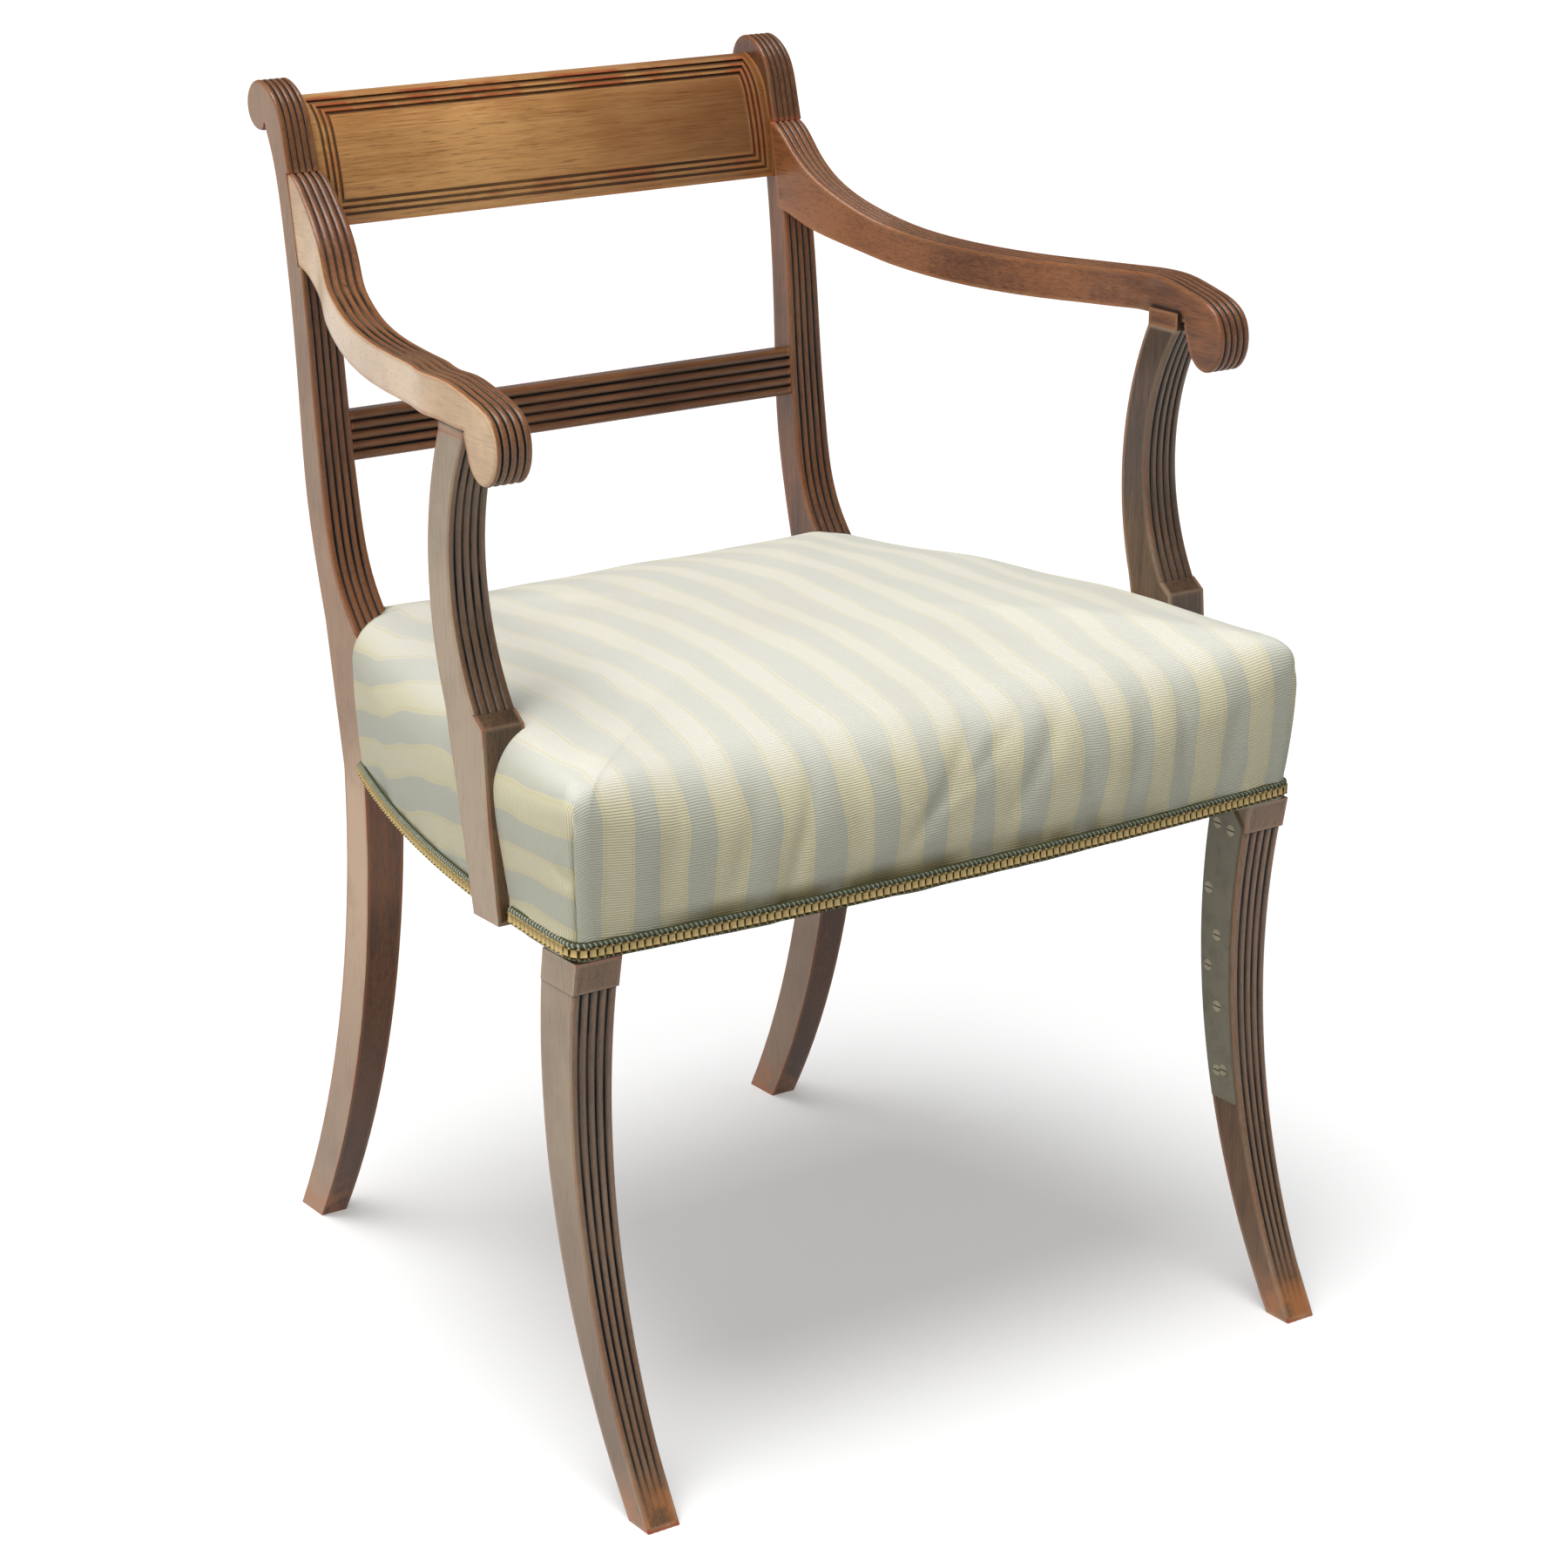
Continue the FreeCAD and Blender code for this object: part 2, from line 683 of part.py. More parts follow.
# Arm support: reeded scroll post on a plain foot that laps over the seat rail
def support_foot_profile(grow, w):
    return [on_support(support_block_back - grow, w, support_block_top + support_bevel),
            on_support((support_block_back + support_toe_back) / 2.0 + 1.0 - grow, w,
                   (support_block_top + rail_bottom) / 2.0),
            on_support(support_toe_back - grow, w, rail_bottom - grow),
            on_support(support_toe_front + grow, w, rail_bottom - grow),
            on_support((support_block_front + support_toe_front) / 2.0 - 2.0 + grow, w,
                   (support_block_top + rail_bottom) / 2.0),
            on_support(support_block_front + grow, w, support_block_top),
            on_support(support_block_front - support_step + grow, w, support_block_top + support_bevel)]


def support_space():
    return prism(support_foot_profile(soft_clearance, -12.0),
                 inward * (support_foot_width + 12.0 + soft_clearance))


stem_front_at = profile_arc((support_block_front - support_step, stem_bottom),
                            (support_waist_front, support_waist_height), (support_top_front, arm_pad_bottom))
stem_back_at = profile_arc((support_block_back, stem_bottom), (support_waist_back, support_waist_height),
                           (support_top_back, arm_pad_bottom))


def arm_support():
    sections = []
    steps = 8
    for i in range(steps + 1):
        z = stem_bottom + (arm_pad_bottom - stem_bottom) * i / steps
        width = support_foot_width + (arm_width - support_foot_width) * i / steps
        back = stem_back_at(z)
        show = stem_front_at(z)
        sections.append(reeded_section(on_support(back, 0, z), inward, forward, width, show - back, reed_depth))
    stem = Part.makeLoft(sections, True, False)
    foot = prism(support_foot_profile(0.0, 0.0), inward * support_foot_width)
    lap = side_rail(support_foot_width)
    return stem.fuse(foot).fuse(support_tenon()).removeSplitter().cut(lap)


# Closed seat outline at a height: bowed sides and rounded corners, offset from the rail faces,
# then drawn towards the middle of the seat by a scale
seat_middle = (frame_front + rear_rail_back) / 2.0


def seat_outline(offset, z, scale=1.0):
    front = frame_front - offset
    back = rear_rail_back + offset
    fx = frame_side_front + offset
    rx = side_face_x(post_front) + offset - (rear_rail_back - post_front) * 0.35
    corners = [V(-fx, front, z), V(fx, front, z), V(rx, back, z), V(-rx, back, z)]
    swell = side_face_x(seat_middle) + offset - (fx + rx) / 2.0
    bows = [V(0, -front_bow, 0), V(swell, 0, 0), V(0, rear_bow, 0), V(-swell, 0, 0)]

    def drawn(q):
        return V(q.x * scale, seat_middle + (q.y - seat_middle) * scale, z)
    edges = []
    for i in range(4):
        a = corners[i]
        b = corners[(i + 1) % 4]
        n = corners[(i + 2) % 4]
        run = b - a
        turn = n - b
        lift = bows[i] * (1.0 - (1.0 - seat_corner * 2.0 / run.Length) ** 2)
        next_lift = bows[(i + 1) % 4] * (1.0 - (1.0 - seat_corner * 2.0 / turn.Length) ** 2)
        run.normalize()
        turn.normalize()
        start = drawn(a + run * seat_corner + lift)
        end = drawn(b - run * seat_corner + lift)
        after = drawn(b + turn * seat_corner + next_lift)
        knee = (end + after) * 0.25 + drawn(b + (lift + next_lift) * 0.5) * 0.5
        edges.append(arc(start, drawn((a + b) * 0.5 + bows[i]), end))
        edges.append(arc(end, knee, after))
    return Part.Wire(edges)


def seat_loft(levels):
    return Part.makeLoft([seat_outline(offset, z, scale) for offset, z, scale in levels], True, True)


web_top = rail_top + 2 * web_gauge + tack_head_height
cloth_bottom = web_top + cloth_clearance
pad_bottom = cloth_bottom + base_cloth_gauge + soft_clearance


# Levels of the domed seat: swelling sides, a rolled shoulder, then the crown
def dome_levels(skin):
    side = cover_swell - skin
    edge = seat_edge_height - skin * 0.5
    roll = seat_shoulder - skin * 0.5
    levels = [(side - 1.5, pad_bottom, 1.0), (side - 0.3, (pad_bottom + edge) / 2.0, 1.0), (side, edge, 1.0)]
    for turn in shoulder_turns:
        a = math.radians(turn)
        levels.append((side - roll * (1.0 - math.cos(a)), edge + roll * math.sin(a), 1.0))
    offset, low, scale = levels[-1]
    rise = seat_crown - skin - low
    for scale in crown_scales:
        lift = (1.0 - scale ** crown_fullness) / (1.0 - crown_scales[-1] ** crown_fullness)
        levels.append((offset, low + rise * lift, scale))
    return levels


def seat_clear():
    post_space = box(post_inner - soft_clearance, post_outer + 60, post_front - soft_clearance, post_back + 60,
                     rail_bottom - 20, seat_crown + 20)
    space = support_space()
    return [post_space, mirrored(post_space), space, mirrored(space)]


def seat_stuffing():
    return cut_all(seat_loft(dome_levels(cover_gauge + soft_clearance)), seat_clear())


def frame_prism(offset, z0, z1):
    return Part.Face(seat_outline(offset, z0)).extrude(V(0, 0, z1 - z0))


# The wooden frame under the cover, with its clearance
def frame_space():
    z0 = rail_bottom - 5.0
    height = pad_bottom + 5.0 - z0
    gap = V(soft_clearance, 0, 0)
    side = bowed_rail(side_start + gap, side_mid + gap, side_end + gap, V(-rail_thickness, 0, 0), z0, height)
    y = frame_front - soft_clearance
    front = bowed_rail(V(-leg_inner, y, 0), V(0, y - front_bow, 0), V(leg_inner, y, 0), V(0, rail_thickness, 0),
                       z0, height)
    rear = box(-post_inner, post_inner, rear_rail_front, rear_rail_back + soft_clearance, z0, z0 + height)
    leg = leg_top(soft_clearance, z0, z0 + height)
    middle = frame_prism(-rail_thickness / 2.0, z0, z0 + height)
    return [middle, side, mirrored(side), front, rear, leg, mirrored(leg)]


def seat_cover():
    gimp_top = rail_bottom + gimp_lift + gimp_height + 3.0
    skirt = seat_loft([(cover_edge, rail_bottom, 1.0), (cover_edge, gimp_top, 1.0),
                       (cover_swell - 1.5, pad_bottom, 1.0)])
    skirt = cut_all(skirt, frame_space())
    dome = seat_loft(dome_levels(0.0)).cut(seat_loft(dome_levels(cover_gauge)))
    return cut_all(skirt.fuse(dome).removeSplitter(), seat_clear())


def base_cloth():
    sheet = frame_prism(-base_cloth_inset, cloth_bottom, cloth_bottom + base_cloth_gauge)
    return cut_all(sheet, seat_clear())


def gimp_ring():
    z0 = rail_bottom + gimp_lift
    outer = frame_prism(cover_edge + soft_clearance + gimp_gauge, z0, z0 + gimp_height)
    inner = frame_prism(cover_edge + soft_clearance, z0 - 1.0, z0 + gimp_height + 1.0)
    return cut_all(outer.cut(inner), seat_clear())


# Webbing: one layer front to back on the rails, one layer side to side over it
web_front = frame_front + web_edge
web_back = rear_rail_back - web_edge
web_spread = 2 * post_inner - web_width - 2 * web_edge
cross_front = leg_back + web_edge
cross_back = rear_rail_front - web_width - web_edge - 4.0


def web_x(k):
    return -web_spread / 2.0 + web_spread * k / (web_count - 1)


def cross_y(k):
    return cross_front + (cross_back - cross_front) * k / (web_count - 1) + web_width / 2.0


def tack_places():
    places = []
    for k in range(web_count):
        for side in (-1, 1):
            x = web_x(k) + side * web_width / 4.0
            for y in (web_front + tack_inset, web_back - tack_inset):
                places.append(V(x, y, rail_top + web_gauge))
            y = cross_y(k) + side * web_width / 4.0
            x = side_face_x(y) - web_edge - tack_inset
            for hand in (-1, 1):
                places.append(V(hand * x, y, rail_top + 2 * web_gauge))
    return places


def tack(place, grow=0.0):
    shank = Part.makeCylinder(tack_radius + grow, tack_length, place, V(0, 0, -1))
    if grow > 0:
        return shank
    return shank.fuse(Part.makeCylinder(tack_head_radius, tack_head_height, place)).removeSplitter()


def web_strips():
    down = []
    over = []
    for k in range(web_count):
        x = web_x(k)
        down.append(box(x - web_width / 2.0, x + web_width / 2.0, web_front, web_back, rail_top, rail_top + web_gauge))
        y = cross_y(k)
        reach = min(side_face_x(y - web_width / 2.0), side_face_x(y + web_width / 2.0)) - web_edge
        strip = box(-reach, reach, y - web_width / 2.0, y + web_width / 2.0, rail_top + web_gauge,
                    rail_top + 2 * web_gauge)
        over.append(cut_all(strip, seat_clear()))
    return down, over


# Corner blocks: triangles fitted between the rails, cut round the leg or post
half_rail = rail_thickness / 2.0


def front_block():
    reach = leg_back + front_block_reach
    face = [V(leg_inner - front_block_reach, frame_front + half_rail, 0),
            V(frame_side_front - half_rail, frame_front + half_rail, 0),
            V(side_face_x(reach) - half_rail, reach, 0)]
    solid = prism(face, V(0, 0, block_height)).translated(V(0, 0, rail_bottom + block_lift))
    g = joint_clearance
    leg_space = box(leg_inner - g, front_leg_outer + 5, frame_front - 20, leg_back + g, 0, rail_top)
    return cut_all(solid, [front_rail(g), side_rail(g), leg_space]), face


def rear_block():
    reach = post_front - rear_block_reach
    face = [V(post_inner - rear_block_reach, rear_rail_back - half_rail, 0),
            V(frame_side_rear - half_rail, rear_rail_back - half_rail, 0),
            V(side_face_x(reach) - half_rail, reach, 0)]
    solid = prism(face, V(0, 0, block_height)).translated(V(0, 0, rail_bottom + block_lift))
    g = joint_clearance
    post_space = box(post_inner - g, post_outer + 5, post_front - g, post_back + 20, 0, rail_top)
    return cut_all(solid, [rear_rail(g), side_rail(g), post_space]), face


def block_screws(face, grow=0.0):
    a = face[0]
    c = face[2]
    run = c - a
    out = face[1] - a
    out = out - run * (out.dot(run) / run.dot(run))
    out.normalize()
    z = rail_bottom + block_lift + block_height / 2.0
    return [screw(a + run * share + V(0, 0, z), out, block_screw_length, grow) for share in (0.36, 0.64)]


# Two screws through each side rail into the foot of the arm support
def support_screws(grow=0.0):
    screws = []
    for share in (0.3, 0.7):
        z = rail_bottom + rail_height * share
        s = support_toe_front - 13.0 - 12.0 * share
        screws.append(screw(on_support(s, support_screw_bore + support_screw_length, z), inward * -1.0,
                            support_screw_length, grow))
    return screws


def support_screw_wells():
    wells = []
    for share in (0.3, 0.7):
        z = rail_bottom + rail_height * share
        s = support_toe_front - 13.0 - 12.0 * share
        wells.append(Part.makeCylinder(screw_head_radius + joint_clearance, 30.0,
                                       on_support(s, support_screw_bore + support_screw_length - 0.01, z), inward))
    return wells


# Mending plate and its eight screws, on the inner face of the right front leg
def repair_plate():
    x = leg_inner - plate_gauge
    top = block_bottom + leg_block_drop - plate_top_gap
    mid = (plate_bottom + top) / 2.0

    def front(z):
        return V(x, leg_front_at(z) + plate_margin, z)

    def back(z):
        return V(x, leg_back_at(z) - plate_margin / 2.0, z)
    corner = front(top) + V(0, plate_chamfer, 0)
    low = front(top - plate_chamfer)
    edges = [arc(back(plate_bottom), back(mid), back(top)), line(back(top), corner), line(corner, low),
             arc(low, front(mid), front(plate_bottom)), line(front(plate_bottom), back(plate_bottom))]
    return Part.Face(Part.Wire(edges)).extrude(V(plate_gauge, 0, 0))


plate_screw_rows = ((-21.0, 0.82), (-23.0, 0.22), (-71.0, 0.9), (-104.0, 0.4), (-129.0, 0.85), (-157.0, 0.42),
                    (-203.0, 0.3), (-205.0, 0.72))


def plate_screws(grow=0.0):
    screws = []
    for drop, share in plate_screw_rows:
        z = rail_bottom + drop
        y0 = leg_front_at(z) + plate_margin
        y1 = leg_back_at(z) - plate_margin / 2.0
        y = y0 + screw_head_radius + (y1 - y0 - 2 * screw_head_radius) * share
        screws.append(screw(V(leg_inner - plate_gauge, y, z), V(1, 0, 0), plate_screw_length, grow))
    return screws


nodes = {}

right_arm = arm_blank()
right_post = rear_post_blank()
crest = crest_rail()
middle = mid_rail()
fit = joint_clearance
right_post = cut_all(right_post, [stub_tenon(fit), rear_tenon(fit), crest_tenon(fit), mid_tenon(fit),
                                  arm_housing_notch(), arm_dowel(fit)])
right_arm = cut_all(right_arm, [support_tenon(fit), arm_dowel(fit)])
right_support = cut_all(arm_support(), support_screws(fit))
right_leg = front_leg()

block_f, face_f = front_block()
block_r, face_r = rear_block()
screws_f = block_screws(face_f)
screws_r = block_screws(face_r)
screw_holes = block_screws(face_f, fit) + block_screws(face_r, fit)
block_f = cut_all(block_f, screw_holes)
block_r = cut_all(block_r, screw_holes)

tack_holes = Part.makeCompound([tack(place, 0.05) for place in tack_places()])
left_holes = Part.makeCompound([mirrored(hole) for hole in screw_holes])
right_holes = Part.makeCompound(screw_holes)

front = front_rail().fuse(front_tenon()).fuse(mirrored(front_tenon())).removeSplitter()
front = cut_all(front, [tack_holes, right_holes, left_holes])
rear = rear_rail().fuse(rear_tenon()).fuse(mirrored(rear_tenon())).removeSplitter()
rear = cut_all(rear, [tack_holes, right_holes, left_holes])
side = side_rail().fuse(side_tenon()).fuse(stub_tenon()).removeSplitter()
side = cut_all(side, [tack_holes, right_holes] + support_screws(fit) + support_screw_wells())
right_leg = cut_all(right_leg, [right_holes])
right_post = cut_all(right_post, [right_holes])

for hand in ("right", "left"):
    turn = (lambda s: s) if hand == "right" else mirrored
    nodes[hand + "_rear_post"] = turn(right_post)
    nodes[hand + "_arm"] = turn(right_arm)
    nodes[hand + "_arm_support"] = turn(right_support)
    nodes[hand + "_front_leg"] = turn(right_leg)
    nodes[hand + "_seat_rail"] = turn(side)
    nodes["front_" + hand + "_corner_block"] = turn(block_f)
    nodes["rear_" + hand + "_corner_block"] = turn(block_r)
nodes["right_front_leg"] = cut_all(right_leg, plate_screws(fit))
nodes["front_seat_rail"] = front
nodes["rear_seat_rail"] = rear
nodes["crest_rail"] = crest
nodes["mid_rail"] = middle

one_side = screws_f + screws_r
nodes["corner_block_screws"] = Part.makeCompound(one_side + [mirrored(s) for s in one_side])
one_side = support_screws()
nodes["arm_support_screws"] = Part.makeCompound(one_side + [mirrored(s) for s in one_side])
nodes["arm_dowels"] = Part.makeCompound([arm_dowel(), mirrored(arm_dowel())])

down_strips, over_strips = web_strips()
nodes["webbing_front_to_back"] = Part.makeCompound([strip.cut(tack_holes) for strip in down_strips])
nodes["webbing_side_to_side"] = Part.makeCompound([strip.cut(tack_holes) for strip in over_strips])
nodes["webbing_tacks"] = Part.makeCompound([tack(place) for place in tack_places()])
nodes["base_cloth"] = base_cloth()
nodes["seat_stuffing"] = seat_stuffing()
nodes["seat_cover"] = seat_cover()

# The gimp is one ring cut by the posts and supports into its four runs
for run in gimp_ring().Solids:
    center = run.BoundBox.Center
    if run.BoundBox.XLength > front_leg_outer:
        name = "front_gimp" if center.y < (frame_front + rear_rail_back) / 2.0 else "rear_gimp"
    else:
        name = "right_side_gimp" if center.x > 0 else "left_side_gimp"
    nodes[name] = run

nodes["repair_plate"] = cut_all(repair_plate(), plate_screws(fit))
nodes["repair_plate_screws"] = Part.makeCompound(plate_screws())

# Stand the chair on the floor with its plan box centred on the origin
whole = Part.makeCompound(list(nodes.values())).BoundBox
shift = V(-whole.Center.x, -whole.Center.y, -whole.ZMin)
os.makedirs("parts", exist_ok=True)
for name, shape in nodes.items():
    shape.translated(shift).exportStep("parts/" + name + ".step")
    print(name, len(shape.Solids), "valid" if shape.isValid() else "INVALID", round(shape.Volume / 1000.0, 1))
print("box", round(whole.XLength, 2), round(whole.YLength, 2), round(whole.ZLength, 2), "shift", shift)
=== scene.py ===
import math

import bmesh
import bpy
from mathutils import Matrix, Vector, noise


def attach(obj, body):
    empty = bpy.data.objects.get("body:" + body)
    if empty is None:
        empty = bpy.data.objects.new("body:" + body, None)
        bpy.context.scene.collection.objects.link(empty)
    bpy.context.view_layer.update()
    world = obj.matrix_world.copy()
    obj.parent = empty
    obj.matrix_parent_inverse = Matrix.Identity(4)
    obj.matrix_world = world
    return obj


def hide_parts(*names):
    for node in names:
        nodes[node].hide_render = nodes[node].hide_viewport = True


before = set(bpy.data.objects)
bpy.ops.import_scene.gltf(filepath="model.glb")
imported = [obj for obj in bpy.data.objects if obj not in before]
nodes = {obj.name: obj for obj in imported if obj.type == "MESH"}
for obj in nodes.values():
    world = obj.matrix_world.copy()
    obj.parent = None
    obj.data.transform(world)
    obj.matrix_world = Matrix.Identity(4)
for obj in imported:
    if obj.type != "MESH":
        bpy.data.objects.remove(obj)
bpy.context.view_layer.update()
mm = 0.001
print("frame loaded,", len(nodes), "nodes")


# A shader socket that takes part in plain arithmetic
class Wire:
    def __init__(self, tree, socket=None):
        self.tree = tree
        self.socket = socket

    def node(self, kind, settings=None, inputs=None, output=0):
        made = self.tree.nodes.new(kind)
        for key, value in (settings or {}).items():
            setattr(made, key, value)
        for key, value in (inputs or {}).items():
            if isinstance(value, Wire):
                self.tree.links.new(value.socket, made.inputs[key])
            else:
                made.inputs[key].default_value = value
        return Wire(self.tree, made.outputs[output] if len(made.outputs) else None)

    def math(self, operation, *terms):
        return self.node("ShaderNodeMath", {"operation": operation}, dict(enumerate(terms)))

    def __add__(self, other):
        return self.math("ADD", self, other)

    def __sub__(self, other):
        return self.math("SUBTRACT", self, other)

    def __mul__(self, other):
        return self.math("MULTIPLY", self, other)

    def __truediv__(self, other):
        return self.math("DIVIDE", self, other)

    def __radd__(self, other):
        return self.math("ADD", other, self)

    def __rsub__(self, other):
        return self.math("SUBTRACT", other, self)

    def __rmul__(self, other):
        return self.math("MULTIPLY", other, self)

    def __rtruediv__(self, other):
        return self.math("DIVIDE", other, self)

    def __abs__(self):
        return self.math("ABSOLUTE", self)

    def sine(self):
        return self.math("SINE", self)

    def fract(self):
        return self.math("FRACT", self)

    def ease(self, low, high):
        return self.node("ShaderNodeMapRange", {"interpolation_type": "SMOOTHSTEP"},
                         {"Value": self, "From Min": low, "From Max": high})

    def mix(self, first, second):
        return self.node("ShaderNodeMix", {"data_type": "RGBA", "clamp_factor": True},
                         {0: self, 6: first, 7: second}, 2)

    def noise(self, place, scale, detail=2.0, rough=0.5):
        return self.node("ShaderNodeTexNoise", None,
                         {"Vector": place, "Scale": scale, "Detail": detail, "Roughness": rough})

    def scaled(self, place, scale):
        return self.node("ShaderNodeVectorMath", {"operation": "MULTIPLY"}, {0: place, 1: scale})

    def part(self, vector, axis):
        return self.node("ShaderNodeSeparateXYZ", None, {0: vector}, axis)

    def bump(self, height, depth, strength):
        return self.node("ShaderNodeBump", None, {"Height": height, "Distance": depth, "Strength": strength})

    def place(self, kind="Object"):
        return self.node("ShaderNodeTexCoord", output=kind)

    def seen(self, kind):
        return self.node("ShaderNodeLightPath", output=kind)

    def hollow(self, distance, inside=False):
        return self.node("ShaderNodeAmbientOcclusion", {"samples": 4, "inside": inside, "only_local": True},
                         {"Distance": distance}, "AO")


def tone(red, green, blue):
    def linear(level):
        level = level / 255.0
        return level / 12.92 if level <= 0.04045 else ((level + 0.055) / 1.055) ** 2.4
    return (linear(red), linear(green), linear(blue), 1.0)


def newMaterial(name, inputs):
    made = bpy.data.materials.new(name)
    made.use_nodes = True
    made.node_tree.nodes.clear()
    graph = Wire(made.node_tree)
    shader = graph.node("ShaderNodeBsdfPrincipled", None, inputs(graph), "BSDF")
    graph.node("ShaderNodeOutputMaterial", None, {"Surface": shader})
    return made


# Polished wood: streaks and pores along the grain, painted shade with grime in the hollows, painted sheen on
# the ridges, rubbed edges, dust with painted sheen on the outer faces, bare toes
# Besides the wood's own tones, each set holds a pale tone for painted sheen on ridges, a greyish tone for
# dust with painted sheen on outer faces, and a dark tone for painted shade with grime in the hollows
greyTones = {
    "dark": tone(88, 65, 47), "light": tone(146, 112, 82), "pore": tone(48, 31, 21), "shadeAndGrime": tone(12, 8, 5),
    "worn": tone(158, 62, 28), "dull": tone(170, 147, 119), "low": tone(92, 62, 40),
    "toe": tone(176, 114, 68), "ridge": tone(184, 158, 128),
}
supportTones = dict(greyTones, dark=tone(66, 48, 33), light=tone(114, 86, 61), dull=tone(182, 160, 132))
warmTones = dict(greyTones, dark=tone(76, 45, 26), light=tone(136, 87, 52), dull=tone(200, 166, 132),
                 ridge=tone(172, 122, 78))
armTones = dict(warmTones, dark=tone(92, 53, 31), light=tone(154, 98, 59), dull=tone(232, 199, 158))
panelTones = dict(greyTones, dark=tone(168, 114, 61), light=tone(216, 163, 102), pore=tone(96, 54, 25),
                  shadeAndGrime=tone(24, 14, 8), ridge=tone(196, 144, 86), shaded=tone(104, 56, 24))
hiddenTones = dict(greyTones, dark=tone(150, 118, 84), light=tone(198, 168, 130), pore=tone(128, 98, 66),
                   shadeAndGrime=tone(80, 60, 42), worn=tone(205, 178, 140), ridge=tone(198, 168, 130))
polish = {
    "streaks": 700.0, "bands": 80.0, "clouds": 9.0, "pores": 1300.0, "poreDepth": 0.15 * mm,
    "shadedAcross": (-0.06, 0.20), "dustAndSheenHeights": (0.02, 0.20), "sideHeights": (0.34, 0.42),
    "lowHeights": (0.10, 0.30), "toeHeights": (0.006, 0.042), "ridge": 3.4 * mm, "hollow": 10.0 * mm,
    "coat": 0.15, "coatRoughness": 0.14, "specular": 0.4,
}


def wood(name, tones, stretch, roughness=0.22, shadeAndGrime=1.0, dull=None):
    def build(g):
        place = g.place()
        grain = g.scaled(place, stretch)
        streak = g.noise(grain, polish["streaks"], 3.0, 0.6)
        pore = g.noise(grain, polish["pores"], 2.0, 0.6).ease(0.55, 0.68)
        bands = g.noise(grain, polish["bands"], 3.0)
        shade = g.noise(place, polish["clouds"], 3.0) * 0.45 + bands * 0.25 + streak * 0.3
        colour = shade.ease(0.36, 0.64).mix(tones["dark"], tones["light"])
        # Painted shade: the crest darkens towards its right end
        if "shaded" in tones:
            colour = (g.part(place, "X").ease(*polish["shadedAcross"]) * 0.8).mix(colour, tones["shaded"])
        colour = (pore * 0.5).mix(colour, tones["pore"])
        # Dust with painted sheen: outward faces, and on the posts both sides below the seat, mixed towards a
        # pale grey tone, the outward faces less so near the floor
        if dull:
            onOuter, onSides = dull
            high = g.part(place, "Z")
            facing = g.part(g.place("Normal"), "X")
            outer = (facing * g.part(place, "X") * 3.6).ease(0.50, 0.72)
            outer = outer * (high.ease(*polish["dustAndSheenHeights"]) * 0.4 + 0.6)
            sides = abs(facing).ease(0.7, 0.95) * (1.0 - high.ease(*polish["sideHeights"]))
            dustAndSheenAmount = g.noise(place, 14.0, 4.0, 0.6).ease(0.30, 0.60) * 0.35 + streak * 0.5 + 0.42
            colour = ((outer * onOuter + sides * onSides) * dustAndSheenAmount).mix(colour, tones["dull"])
            colour = ((1.0 - high.ease(*polish["lowHeights"])) * 0.45).mix(colour, tones["low"])
            bare = (1.0 - high.ease(*polish["toeHeights"])) * g.noise(place, 60.0, 3.0).ease(0.32, 0.60)
            colour = (bare * 0.85).mix(colour, tones["toe"])
        # Painted sheen: convex ridges and edges mixed towards a pale ridge tone
        convex = 1.0 - g.hollow(polish["ridge"], True)
        colour = (convex.ease(0.03, 0.22) * 0.45).mix(colour, tones["ridge"])
        rubbed = convex.ease(0.18, 0.44) * g.noise(place, 20.0, 4.0, 0.65).ease(0.42, 0.58)
        colour = (rubbed * 0.8).mix(colour, tones["worn"])
        # Painted shade with grime: occlusion darkens grooves and hollows towards a dark tone, unevenly in
        # patches
        shadedHollow = 1.0 - g.hollow(polish["hollow"]).ease(0.74, 1.0)
        shadeAndSoil = g.noise(place, 18.0, 4.0).ease(0.30, 0.62) * 0.3 + 0.7
        colour = (shadedHollow * shadeAndSoil * shadeAndGrime).mix(colour, tones["shadeAndGrime"])
        return {"Base Color": colour, "Roughness": roughness + streak * 0.16 + shadedHollow * 0.3,
                "Coat Weight": polish["coat"], "Coat Roughness": polish["coatRoughness"],
                "Specular IOR Level": polish["specular"], "Normal": g.bump(pore, polish["poreDepth"], 0.25)}
    return newMaterial(name, build)


legWood = wood("mahogany_legs", greyTones, (1.0, 1.0, 0.05), dull=(0.85, 0.0))
supportWood = wood("mahogany_supports", supportTones, (1.0, 1.0, 0.05), dull=(0.9, 0.0))
backWood = wood("mahogany_posts", warmTones, (1.0, 1.0, 0.05), dull=(0.4, 0.75))
railWood = wood("mahogany_mid_rail", warmTones, (0.05, 1.0, 1.0))
armWood = wood("mahogany_arms", armTones, (1.0, 0.07, 1.0), dull=(0.95, 0.0))
panelWood = wood("mahogany_crest", panelTones, (0.035, 1.0, 1.0), shadeAndGrime=0.75)
beechAcross = wood("beech_across", hiddenTones, (0.06, 1.0, 1.0), roughness=0.62, shadeAndGrime=0.5)
beechAlong = wood("beech_along", hiddenTones, (1.0, 0.06, 1.0), roughness=0.62, shadeAndGrime=0.5)


